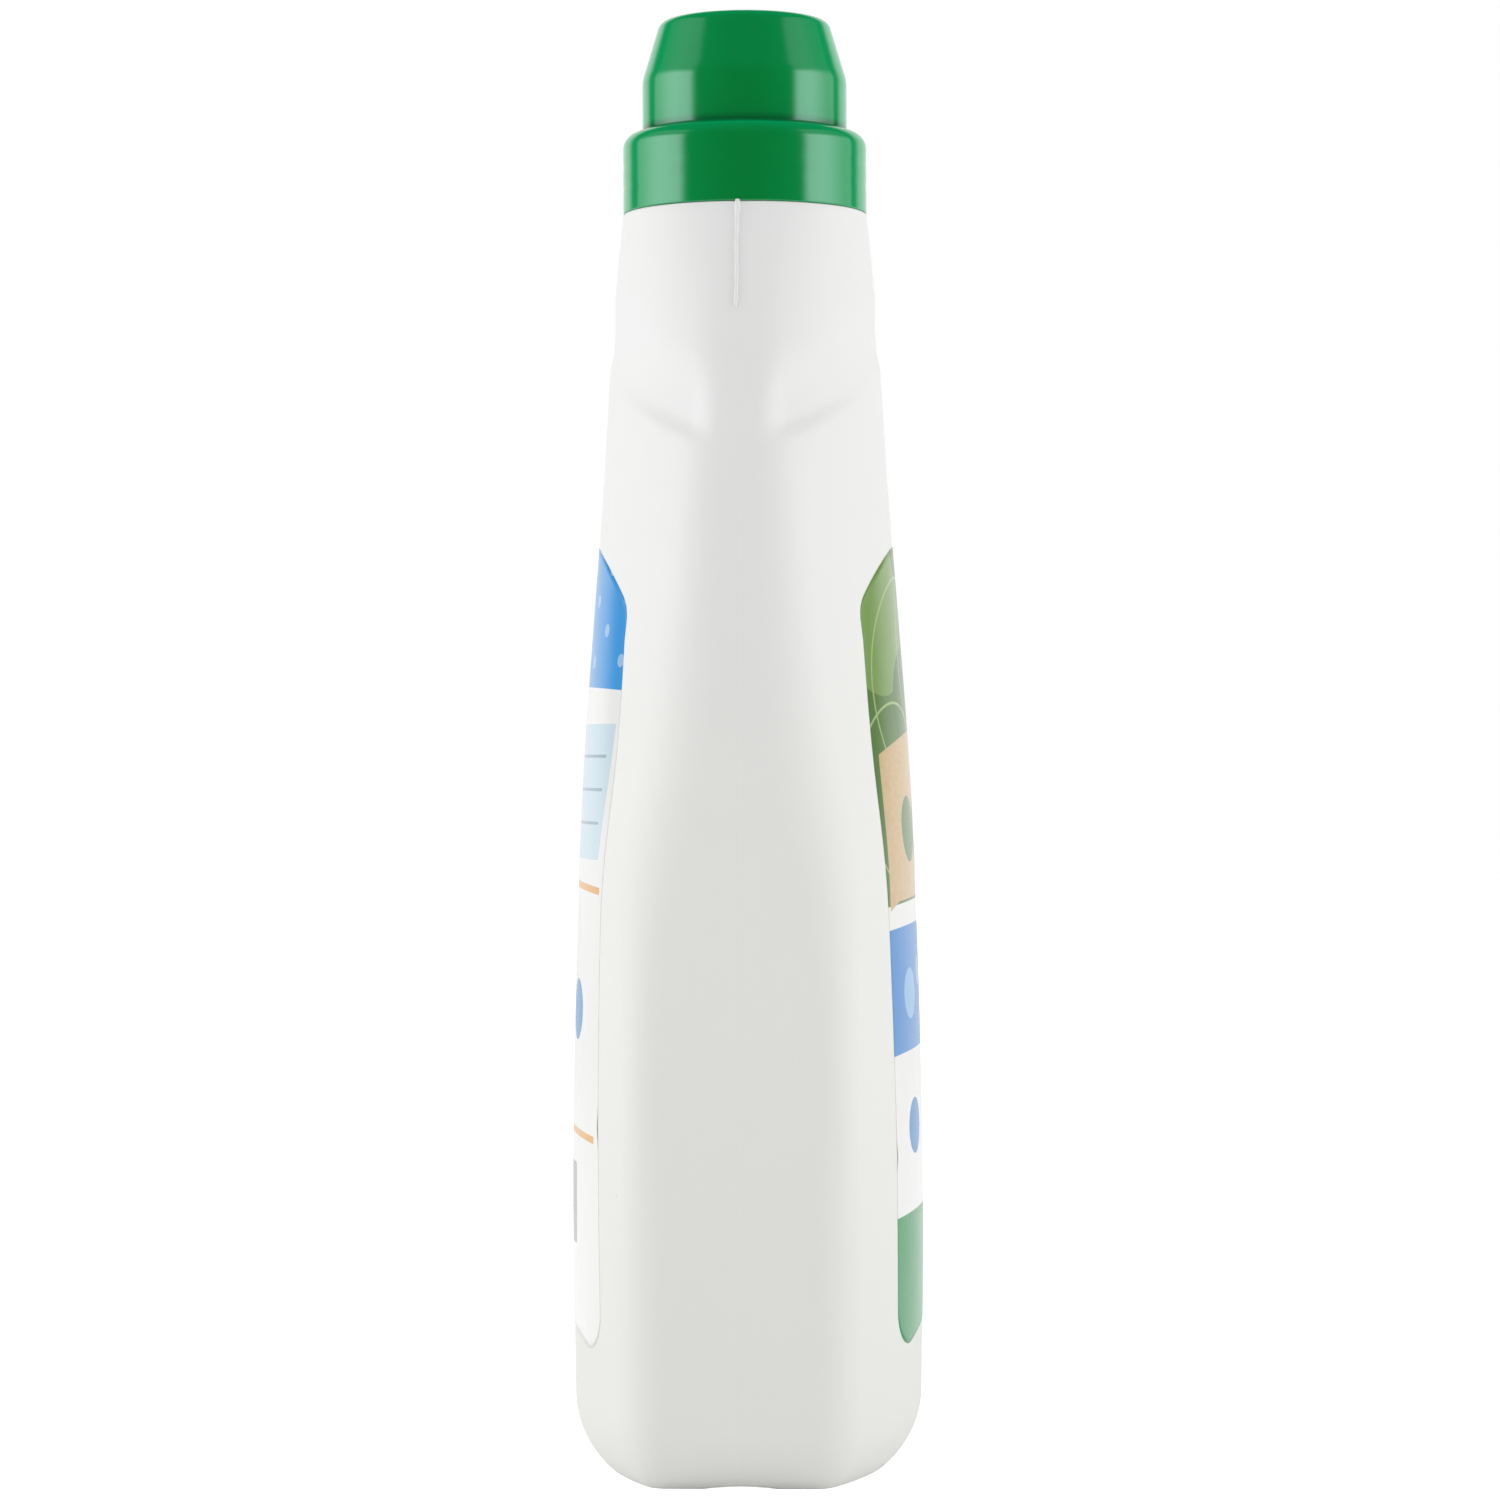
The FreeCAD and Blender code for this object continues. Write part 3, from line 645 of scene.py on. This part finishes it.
COLLAR_RADIUS = 24.3
COLLAR_INNER = 22.6
COLLAR_FOOT = 247.56
COLLAR_TOP = 263.6
COLLAR_CEILING = 262.2
CUP_RADIUS = 20.4
CUP_INNER = 19.1
CUP_BEND = 274.2
CUP_END_RADIUS = 16.8
CUP_END_INNER = 15.5
CUP_CEILING = 284.8
CUP_TOP = 286.1
CAP_CORNERS = [
    (0.0, CUP_CEILING, 0),
    (CUP_END_INNER, CUP_CEILING, 1.0),
    (CUP_INNER, CUP_BEND, 6.7),
    (CUP_INNER, COLLAR_CEILING, 0.5),
    (COLLAR_INNER, COLLAR_CEILING, 0.6),
    (COLLAR_INNER, COLLAR_FOOT, 0.4),
    (COLLAR_RADIUS, COLLAR_FOOT, 0.25),
    (COLLAR_RADIUS, COLLAR_TOP, 3.0),
    (CUP_RADIUS, COLLAR_TOP, 0.6),
    (CUP_RADIUS, CUP_BEND, 8.0),
    (CUP_END_RADIUS, CUP_TOP, 2.2),
    (0.0, CUP_TOP, 0),
]
CAP_COLUMNS = 192
cap_outline = finely_cut(rounded_outline(CAP_CORNERS, 9), 0.8)
CROWN_MIDDLE = 0.4
cap_outline[0].x = CROWN_MIDDLE
cap_outline[-1].x = CROWN_MIDDLE

CAP_THREAD_FOOT = 249.9
SINK_DEPTH = 0.055
SINK_HALF = 0.75
SINK_LEVELS = (253.0, 257.3)


def thread_sink(radius, height, turn):
    """The slight sinking of the collar's outside over the thread inside."""
    if radius < 24 or height > 261.5 or height < 249:
        return 0
    lead = 0.25 * THREAD_PITCH * (turn / (2 * math.pi) - 0.5)
    sunk = 0
    for level in SINK_LEVELS:
        sunk += SINK_DEPTH * math.exp(-(((height - level - lead) / SINK_HALF) ** 2))
    return sunk


cap_green, tree, shader, place = new_material("cap_green", (0.0, 0.24, 0.047), 0.14)
shader.inputs["Specular Tint"].default_value = (0.7, 1.0, 0.98, 1)
shader.inputs["Specular IOR Level"].default_value = 0.7
shader.inputs["IOR"].default_value = 1.6
cap_cloud = noise(tree, place, 45, 2.0)
cap_tone = mix_colours(tree, cap_cloud.outputs["Fac"], (0.0, 0.236, 0.042), (0.0, 0.222, 0.038))
# painted light: the green is mixed towards a lighter green where the walls are seen at a slant, standing
# in for light that the plastic lets through
slant = tree.nodes.new("ShaderNodeLayerWeight")
slant.inputs["Blend"].default_value = 0.5
painted_glow = calculate(tree, "POWER", slant.outputs["Facing"], 0.9)
cap_tone = mix_colours(tree, painted_glow, cap_tone, (0.0, 0.42, 0.145))
# painted shade: the green is darkened in a narrow ring where the cup stands on the collar
SHADE_RING_LEVEL = COLLAR_TOP + 0.6
SHADE_RING_REACH = 1.25
axes = tree.nodes.new("ShaderNodeSeparateXYZ")
tree.links.new(place, axes.inputs["Vector"])
from_shade_ring = calculate(tree, "SUBTRACT", axes.outputs["Z"], SHADE_RING_LEVEL / 1000)
from_shade_ring = calculate(tree, "ABSOLUTE", from_shade_ring)
corner = calculate(tree, "MULTIPLY_ADD", from_shade_ring, -1000 / SHADE_RING_REACH, 1.0)
corner = calculate(tree, "MAXIMUM", corner, 0.0)
tree.links.new(mix_colours(tree, corner, cap_tone, (0.0, 0.14, 0.036)), shader.inputs["Base Color"])
add_skin(tree, shader, place, 0.05, 0.0008, 0.05)
make_piece(
    "cap_moulding",
    turned_points(cap_outline, CAP_COLUMNS, thread_sink),
    capped_faces(len(cap_outline), CAP_COLUMNS),
    cap_green,
    "cap",
    "dosing_cap",
)
swept_bar(
    "cap_thread",
    thread_stations(COLLAR_INNER, CAP_THREAD_FOOT, True),
    THREAD_PROFILE,
    cap_green,
    "cap",
)


# Labels
# Two pressure-sensitive films of printed plastic, one on each broad face, with an arched top and
# foot and rounded corners. Each has lifted from the bottle in one small place at its edge.

LABEL_HALF = 33.0
LABEL_SHOULDER = 162.0
LABEL_HEEL = 24.0
LABEL_SIDES = natural_spline(
    np.array([LABEL_HEEL, 75.0, 120.0, LABEL_SHOULDER]),
    np.array([32.8, LABEL_HALF, 32.6, 29.2]),
)
LABEL_TOP = 181.0
LABEL_TOP_RADIUS = 40.0
LABEL_FOOT = 28.0
LABEL_FOOT_RADIUS = 106.0
LABEL_CORNER = 7.0
LABEL_ASIDE = 3.9
LABEL_SLANT = 0.02
FILM = 0.09
GLUE = 0.03


def face_depth(x, height):
    """Half depth of the body at a distance across, and the outward direction there."""
    half_width, half_depth, half_flat, corner, bow, bow_centre, turn = section_at(height)
    if abs(x) <= bow * math.cos(turn):
        depth = bow_centre + math.sqrt(bow**2 - x**2)
        outward = Vector((x, depth - bow_centre)) / bow
    else:
        reach = half_width - corner
        past = abs(x) - reach
        depth = half_flat + math.sqrt(corner**2 - past**2)
        outward = Vector((math.copysign(past, x), depth - half_flat)) / corner
    return depth, outward


def label_half(level):
    """Half width of the label, whose sides are shallow curves that follow the bottle's outline."""
    return LABEL_SIDES(min(max(level, LABEL_HEEL), LABEL_SHOULDER))


def label_middle(side, level):
    """Where the label's middle lies, because each was applied a little aside and askew."""
    return -side * (LABEL_ASIDE - LABEL_SLANT * (level - LABEL_HEEL))


def corner_cut(share, half, ring_height, ring_radius, sign):
    """Height of the label's top or foot at a share across it, with its corners rounded."""
    x = abs(share) * half
    inside = half - LABEL_CORNER
    centre_height = ring_height - ring_radius
    if sign > 0:
        corner_height = centre_height + math.sqrt((ring_radius - LABEL_CORNER) ** 2 - inside**2)
        touch = inside * ring_radius / (ring_radius - LABEL_CORNER)
    else:
        corner_height = centre_height + math.sqrt((ring_radius + LABEL_CORNER) ** 2 - inside**2)
        touch = inside * ring_radius / (ring_radius + LABEL_CORNER)
    if x <= touch:
        return centre_height + math.sqrt(ring_radius**2 - x**2)
    past = min(x - inside, LABEL_CORNER)
    return corner_height + sign * math.sqrt(LABEL_CORNER**2 - past**2)


LABEL_COLUMNS = 96
LABEL_ROWS = 110


def label_points(side, buckles):
    """The film's outer and inner layer, following the body, as a grid of points each.

    A buckle is given by its edge of the label, its height on it, its length, how far the film
    lifts there and how far in that reaches.
    """
    layers = []
    for lift in (FILM, -GLUE):
        grid = []
        for column in range(LABEL_COLUMNS + 1):
            share = -math.cos(math.pi * column / LABEL_COLUMNS)
            top = corner_cut(share, label_half(LABEL_SHOULDER), LABEL_TOP, LABEL_TOP_RADIUS, 1)
            foot = corner_cut(share, label_half(LABEL_HEEL), LABEL_FOOT, LABEL_FOOT_RADIUS, -1)
            for row in range(LABEL_ROWS + 1):
                level = foot + (top - foot) * row / LABEL_ROWS
                half = label_half(level)
                x = label_middle(side, level) + share * half
                depth, outward = face_depth(x, level)
                raised = lift
                drawn = 0
                for edge, middle, length, height, width in buckles:
                    away = abs(edge - share) * half
                    along = (level - middle) / length
                    puff = math.exp(-(along**2) * 4) * math.exp(-((away / width) ** 2) * 2)
                    raised += height * puff
                    drawn += edge * 0.35 * puff
                across = x - drawn + raised * outward.x
                grid.append((across, side * (depth + raised * outward.y), level))
        layers.append(grid)
    return layers[0] + layers[1]


def label_faces():
    """Faces of both layers and of the thin rim that joins them."""
    rows = LABEL_ROWS + 1
    columns = LABEL_COLUMNS + 1
    layer = rows * columns
    faces = []
    for column in range(LABEL_COLUMNS):
        for row in range(LABEL_ROWS):
            corner = column * rows + row
            outer = (corner, corner + 1, corner + rows + 1, corner + rows)
            faces.append(outer)
            faces.append(tuple(point + layer for point in reversed(outer)))
    rim = [column * rows for column in range(columns)]
    rim += [LABEL_COLUMNS * rows + row for row in range(1, rows)]
    rim += [column * rows + LABEL_ROWS for column in range(LABEL_COLUMNS - 1, -1, -1)]
    rim += list(range(LABEL_ROWS - 1, 0, -1))
    for index, start in enumerate(rim):
        end = rim[(index + 1) % len(rim)]
        faces.append((start, end, end + layer, start + layer))
    return faces


# a printed shape: a mask that is 1 inside and 0 outside, with an edge as crisp as print
disc_group, disc_in, disc_out = new_group(
    "printed_disc",
    [(title, "NodeSocketFloat") for title in ("Across", "Up", "Middle across", "Middle up", "Radius")],
    ["Mask"],
)
away_across = calculate(disc_group, "SUBTRACT", disc_in["Across"], disc_in["Middle across"])
away_up = calculate(disc_group, "SUBTRACT", disc_in["Up"], disc_in["Middle up"])
away_squared = calculate(disc_group, "MULTIPLY", away_across, away_across)
away_squared = calculate(disc_group, "MULTIPLY_ADD", away_up, away_up, away_squared)
inside_disc = calculate(disc_group, "SQRT", away_squared)
inside_disc = calculate(disc_group, "SUBTRACT", disc_in["Radius"], inside_disc)
inside_disc = calculate(disc_group, "MULTIPLY_ADD", inside_disc, 8, 0.5)
inside_disc = calculate(disc_group, "MINIMUM", calculate(disc_group, "MAXIMUM", inside_disc, 0), 1)
disc_group.links.new(inside_disc, disc_out["Mask"])

BLOCK_INPUTS = ("Across", "Up", "Middle across", "Middle up", "Half width", "Half height", "Corner")
BLOCK_SIDES = (("Across", "Middle across", "Half width"), ("Up", "Middle up", "Half height"))
block_group, block_in, block_out = new_group(
    "printed_block",
    [(title, "NodeSocketFloat") for title in BLOCK_INPUTS],
    ["Mask"],
)
past_sides = []
for position, middle, half in BLOCK_SIDES:
    away = calculate(block_group, "SUBTRACT", block_in[position], block_in[middle])
    away = calculate(block_group, "ABSOLUTE", away)
    past = calculate(block_group, "SUBTRACT", away, block_in[half])
    past_sides.append(calculate(block_group, "ADD", past, block_in["Corner"]))
outside = [calculate(block_group, "MAXIMUM", past, 0) for past in past_sides]
outside_squared = calculate(block_group, "MULTIPLY", outside[0], outside[0])
outside_squared = calculate(block_group, "MULTIPLY_ADD", outside[1], outside[1], outside_squared)
beyond = calculate(block_group, "SQRT", outside_squared)
within = calculate(block_group, "MINIMUM", calculate(block_group, "MAXIMUM", *past_sides), 0)
beyond = calculate(block_group, "ADD", beyond, within)
beyond = calculate(block_group, "SUBTRACT", block_in["Corner"], beyond)
inside_block = calculate(block_group, "MULTIPLY_ADD", beyond, 8, 0.5)
inside_block = calculate(block_group, "MINIMUM", calculate(block_group, "MAXIMUM", inside_block, 0), 1)
block_group.links.new(inside_block, block_out["Mask"])


def print_mask(tree, group, across, up, values):
    """A printed shape's mask, from its group and the values for its remaining inputs."""
    shape = tree.nodes.new("ShaderNodeGroup")
    shape.node_tree = group
    tree.links.new(across, shape.inputs["Across"])
    tree.links.new(up, shape.inputs["Up"])
    for socket, value in zip(list(shape.inputs)[2:], values):
        socket.default_value = value
    return shape.outputs["Mask"]


FILM_WHITE = (0.84, 0.845, 0.83)


def new_film(name, middle):
    """A film material, with the distances across and up the label in millimetres."""
    material, tree, shader, place = new_material(name, FILM_WHITE, 0.22)
    axes = tree.nodes.new("ShaderNodeSeparateXYZ")
    tree.links.new(place, axes.inputs[0])
    across = calculate(tree, "MULTIPLY_ADD", axes.outputs["X"], 1000, -middle)
    up = calculate(tree, "MULTIPLY", axes.outputs["Z"], 1000)
    add_skin(tree, shader, place, 0.12, 0.0015, 0.08)
    return material, tree, shader, place, across, up


def bowed(tree, across, up, sag):
    """Heights measured from a line that is bowed by a sag at the label's edges."""
    square = calculate(tree, "MULTIPLY", across, across)
    return calculate(tree, "MULTIPLY_ADD", square, sag / LABEL_HALF**2, up)


PAST_EDGES = 60.0


def print_field(tree, across, up, low, high):
    """The mask of a field that runs right across the label between two heights."""
    values = (0, (low + high) / 2, PAST_EDGES, (high - low) / 2, 0)
    return print_mask(tree, block_group, across, up, values)


def print_discs(tree, across, up, colour, discs, field=None):
    """Prints discs of (middle across, middle up, radius, tone), kept to a field where one is given."""
    for middle_across, middle_up, radius, tone in discs:
        disc = print_mask(tree, disc_group, across, up, (middle_across, middle_up, radius))
        if field is not None:
            disc = calculate(tree, "MULTIPLY", disc, field)
        colour = mix_colours(tree, disc, colour, tone)
    return colour


FIELD_SAG = 1.2
PANEL_SAG = 6
INK_BLUE = (0.02, 0.24, 0.55)
INK_GREEN = (0.03, 0.3, 0.1)
INK_ORANGE = (0.85, 0.25, 0.03)
LEAF_GREEN = (0.09, 0.2, 0.035)
LEAF_LIGHT = (0.36, 0.5, 0.2)
LEAF_DISCS = (
    (-24, 168, 17, (0.19, 0.33, 0.08)),
    (15, 176, 15, (0.06, 0.16, 0.035)),
    (27, 150, 14, (0.17, 0.31, 0.08)),
    (-6, 148, 13, (0.07, 0.18, 0.03)),
    (-31, 141, 9, (0.09, 0.2, 0.04)),
    (4, 161, 9, (0.2, 0.36, 0.08)),
)
LEAF_RINGS = ((-6, 152, 23), (-19, 131, 19), (14, 158, 26))
RING_WIDTH = 0.5
PANEL_HALF = 30.5
PANEL_GREEN = (0.1, 0.22, 0.05)
BAND_BLUE = (0.05, 0.26, 0.64)
BAND_LIGHT = (0.25, 0.5, 0.78)
FOOT_GREEN = (0.01, 0.29, 0.085)

# front print: greens with round shapes and fine rings, a kraft panel, a blue band and a green foot
front_film, tree, shader, place, across, up = new_film("front_film", 2.0)
curved_up = bowed(tree, across, up, FIELD_SAG)
green_field = print_field(tree, across, curved_up, 111.3, 208.7)
colour = mix_colours(tree, green_field, FILM_WHITE, LEAF_GREEN)
colour = print_discs(tree, across, up, colour, LEAF_DISCS, green_field)
for middle_across, middle_up, radius in LEAF_RINGS:
    rim = print_mask(tree, disc_group, across, up, (middle_across, middle_up, radius))
    hole = print_mask(tree, disc_group, across, up, (middle_across, middle_up, radius - RING_WIDTH))
    ring = calculate(tree, "MULTIPLY", calculate(tree, "SUBTRACT", rim, hole), green_field)
    colour = mix_colours(tree, ring, colour, LEAF_LIGHT)
fibre = noise(tree, place, 900, 4.0)
kraft = mix_colours(tree, fibre.outputs["Fac"], (0.56, 0.38, 0.18), (0.7, 0.52, 0.3))
arched_up = bowed(tree, across, up, PANEL_SAG)
# the panel's sides lean outwards to the foot, as the label's own sides do
leaning = calculate(tree, "MULTIPLY", across, calculate(tree, "MULTIPLY_ADD", up, 0.0025, 0.685))
panel = calculate(
    tree,
    "MAXIMUM",
    print_mask(tree, block_group, leaning, curved_up, (0, 120, PANEL_HALF, 8.2, 0.3)),
    print_mask(tree, block_group, leaning, arched_up, (0, 129.6, PANEL_HALF, 14.8, 0.3)),
)
colour = mix_colours(tree, panel, colour, kraft)
discs = [(middle, 125, radius, PANEL_GREEN) for middle, radius in ((-14, 6.5), (0, 8.5), (14, 6.5))]
colour = print_discs(tree, across, up, colour, discs)
band = print_field(tree, across, curved_up, 82.4, 106.8)
colour = mix_colours(tree, band, colour, BAND_BLUE)
discs = [(-20, 93, 5), (-9, 97, 3), (2, 91, 6), (13, 98, 2.6), (21, 92, 4.4)]
colour = print_discs(tree, across, up, colour, [(*disc, BAND_LIGHT) for disc in discs])
discs = [(middle, 67, 5.5, tone) for middle, tone in ((-18, INK_BLUE), (0, INK_GREEN), (18, INK_BLUE))]
colour = print_discs(tree, across, up, colour, discs)
foot_field = print_field(tree, across, curved_up, -31, 51)
colour = mix_colours(tree, foot_field, colour, FOOT_GREEN)
tree.links.new(colour, shader.inputs["Base Color"])

# back print: a blue field with dots, a pale panel with thin rules, two golden lines, three discs
# and a plain grey block
BACK_BLUE = (0.035, 0.31, 0.72)
DOT_BLUE = (0.3, 0.52, 0.8)
PALE_BLUE = (0.58, 0.72, 0.8)
RULE_BLUE = (0.3, 0.42, 0.5)
GOLD = (0.76, 0.4, 0.1)
BLOCK_GREY = (0.32, 0.32, 0.32)
back_film, tree, shader, place, across, up = new_film("back_film", -2.0)
curved_up = bowed(tree, across, up, FIELD_SAG)
field = print_field(tree, across, curved_up, 153.2, 206.8)
colour = mix_colours(tree, field, FILM_WHITE, BACK_BLUE)
for row in range(4):
    shift = 4 if row % 2 else -4
    discs = [(middle + shift, 158 + row * 6, 1.3, DOT_BLUE) for middle in (-24, -8, 8, 24)]
    colour = print_discs(tree, across, up, colour, discs)
panel = print_mask(tree, block_group, across, up, (0, 132.6, 29.2, 13.2, 0.6))
colour = mix_colours(tree, panel, colour, PALE_BLUE)
for level in (126.5, 133, 139.5):
    rule = print_mask(tree, block_group, across, up, (0, level, 26.5, 0.3, 0))
    colour = mix_colours(tree, rule, colour, RULE_BLUE)
for level in (114.5, 66.5):
    line = print_mask(tree, block_group, across, curved_up, (0, level, 31.5, 0.7, 0))
    colour = mix_colours(tree, line, colour, GOLD)
discs = [(middle, 90, 6, tone) for middle, tone in ((-16, INK_BLUE), (0, INK_GREEN), (16, INK_ORANGE))]
colour = print_discs(tree, across, up, colour, discs)
block = print_mask(tree, block_group, across, up, (0, 52, 17, 8, 1))
colour = mix_colours(tree, block, colour, BLOCK_GREY)
tree.links.new(colour, shader.inputs["Base Color"])

make_piece(
    "front_film_label",
    label_points(-1, [(-1, 62.0, 4.5, 0.25, 1.6)]),
    label_faces(),
    front_film,
    "bottle",
    "front_label",
)
make_piece(
    "back_film_label",
    label_points(1, [(-1, 68.0, 5.5, 0.28, 1.8)]),
    label_faces(),
    back_film,
    "bottle",
    "back_label",
)


# Studio
# A pale floor, a white surround and two wide softboxes, one each side, which fade upwards and away
# from the camera. The camera looks level at a narrow side, a little round towards the front.


def light_path(tree, kinds):
    """1 for rays of any of these kinds."""
    rays = tree.nodes.new("ShaderNodeLightPath")
    share = rays.outputs[kinds[0]]
    for kind in kinds[1:]:
        share = calculate(tree, "MAXIMUM", share, rays.outputs[kind])
    return share


FLOOR_HALF = 4
FLOOR_MIRRORED = 0.3
AMBIENT = 0.715
DARK_SURROUND = 0.012

floor_shape = bmesh.new()
floor_corners = []
for x, y in ((-1, -1), (1, -1), (1, 1), (-1, 1)):
    floor_corners.append(floor_shape.verts.new((x * FLOOR_HALF, y * FLOOR_HALF, 0)))
floor_shape.faces.new(floor_corners)
floor_mesh = bpy.data.meshes.new("studio_floor")
floor_shape.to_mesh(floor_mesh)
floor_shape.free()
floor = bpy.data.objects.new("studio_floor", floor_mesh)
bpy.context.scene.collection.objects.link(floor)
pale, tree, shader, place = new_material("pale_floor", (0.9, 0.9, 0.9), 0.7)
seen = light_path(tree, ("Is Camera Ray", "Is Transmission Ray"))
mirrored = calculate(tree, "MULTIPLY", light_path(tree, ("Is Glossy Ray",)), FLOOR_MIRRORED)
shader.inputs["Emission Color"].default_value = (1, 1, 1, 1)
tree.links.new(calculate(tree, "MAXIMUM", seen, mirrored), shader.inputs["Emission Strength"])
floor_mesh.materials.append(pale)

world = bpy.data.worlds.new("studio")
bpy.context.scene.world = world
world.use_nodes = True
tree = world.node_tree
surround = tree.nodes["Background"]
directions = tree.nodes.new("ShaderNodeTexCoord")
axes = tree.nodes.new("ShaderNodeSeparateXYZ")
tree.links.new(directions.outputs["Generated"], axes.inputs[0])
# a mirroring surface sees the surround dark, but for a white patch behind the bottle
behind = tree.nodes.new("ShaderNodeMapRange")
behind.interpolation_type = "SMOOTHSTEP"
behind.inputs["From Min"].default_value = 0.62
behind.inputs["From Max"].default_value = 0.78
behind.inputs["To Min"].default_value = DARK_SURROUND
behind.inputs["To Max"].default_value = 1
tree.links.new(axes.outputs["X"], behind.inputs["Value"])
glossy = light_path(tree, ("Is Glossy Ray",))
direct = light_path(tree, ("Is Camera Ray", "Is Transmission Ray"))
mirrored = calculate(tree, "MULTIPLY", glossy, behind.outputs["Result"])
matt = calculate(tree, "SUBTRACT", 1, glossy)
strength = calculate(tree, "MULTIPLY_ADD", matt, AMBIENT, mirrored)
strength = calculate(tree, "MAXIMUM", strength, direct)
surround.inputs["Color"].default_value = (1, 1, 1, 1)
tree.links.new(strength, surround.inputs["Strength"])

SOFTBOX_DISTANCE = 0.95
SOFTBOX_WIDTH = 1.2
SOFTBOX_HEIGHT = 1.0
SOFTBOX_FOOT = 0.22
SOFTBOX_RADIANCE = 3.1
FAR_STRENGTH = 0.3
TOP_STRENGTH = 0.2
EDGE_STRENGTH = 0.15
EDGE_WIDTH = 0.16


def fade_along(tree, distance, start, end, least):
    """Full strength up to a start, then a smooth change to the least strength at the end."""
    fade = tree.nodes.new("ShaderNodeMapRange")
    fade.interpolation_type = "SMOOTHSTEP"
    fade.inputs["From Min"].default_value = start
    fade.inputs["From Max"].default_value = end
    fade.inputs["To Min"].default_value = 1
    fade.inputs["To Max"].default_value = least
    tree.links.new(distance, fade.inputs["Value"])
    return fade.outputs["Result"]


def add_softbox(name, side, bearing, start, end):
    """A lamp on one side of the bottle that fades backwards, from one share of its width to another."""
    bearing = math.radians(bearing)
    lamp = bpy.data.lights.new(name, "AREA")
    lamp.shape = "RECTANGLE"
    lamp.size = SOFTBOX_WIDTH
    lamp.size_y = SOFTBOX_HEIGHT
    lamp.energy = SOFTBOX_RADIANCE * math.pi * SOFTBOX_WIDTH * SOFTBOX_HEIGHT
    lamp.use_nodes = True
    tree = lamp.node_tree
    split = tree.nodes.new("ShaderNodeSeparateXYZ")
    tree.links.new(tree.nodes.new("ShaderNodeNewGeometry").outputs["Parametric"], split.inputs[0])
    backwards = split.outputs["X"]
    if side > 0:
        backwards = calculate(tree, "SUBTRACT", 1, backwards)
    strength = calculate(
        tree,
        "MULTIPLY",
        fade_along(tree, backwards, start, end, FAR_STRENGTH),
        fade_along(tree, split.outputs["Y"], 0.3, 0.5, TOP_STRENGTH),
    )
    near_edge = fade_along(tree, backwards, EDGE_WIDTH, 0, EDGE_STRENGTH)
    strength = calculate(tree, "MULTIPLY", strength, near_edge)
    tree.links.new(strength, tree.nodes["Emission"].inputs["Strength"])
    softbox = bpy.data.objects.new(name, lamp)
    direction = Vector((-math.cos(bearing), side * math.sin(bearing), 0))
    middle = SOFTBOX_FOOT + SOFTBOX_HEIGHT / 2
    softbox.location = direction * SOFTBOX_DISTANCE + Vector((0, 0, middle))
    softbox.rotation_euler = direction.to_track_quat("Z", "Y").to_euler()
    bpy.context.scene.collection.objects.link(softbox)


add_softbox("softbox_left", 1, 86.5, 0.4, 0.95)
add_softbox("softbox_right", -1, 89.5, 0.32, 0.85)

CAMERA_DISTANCE = 0.894
CAMERA_HEIGHT = 0.1406
CAMERA_AZIMUTH = math.radians(-87.8)
CAMERA_ROLL = math.radians(0.21)
CAMERA_ASIDE = 0.00062
CAMERA_LENS = 107.3
lens = bpy.data.cameras.new("camera")
lens.sensor_width = 36
lens.lens = CAMERA_LENS
camera = bpy.data.objects.new("camera", lens)
bpy.context.scene.collection.objects.link(camera)
back = Vector((math.sin(CAMERA_AZIMUTH), -math.cos(CAMERA_AZIMUTH), 0))
right = (-back).cross(Vector((0, 0, 1)))
camera.location = back * CAMERA_DISTANCE + right * CAMERA_ASIDE + Vector((0, 0, CAMERA_HEIGHT))
camera.rotation_mode = "QUATERNION"
level_view = (-back).to_track_quat("-Z", "Y")
camera.rotation_quaternion = level_view @ Matrix.Rotation(-CAMERA_ROLL, 3, "Z").to_quaternion()
bpy.context.scene.camera = camera
bpy.context.scene.view_settings.view_transform = "Standard"
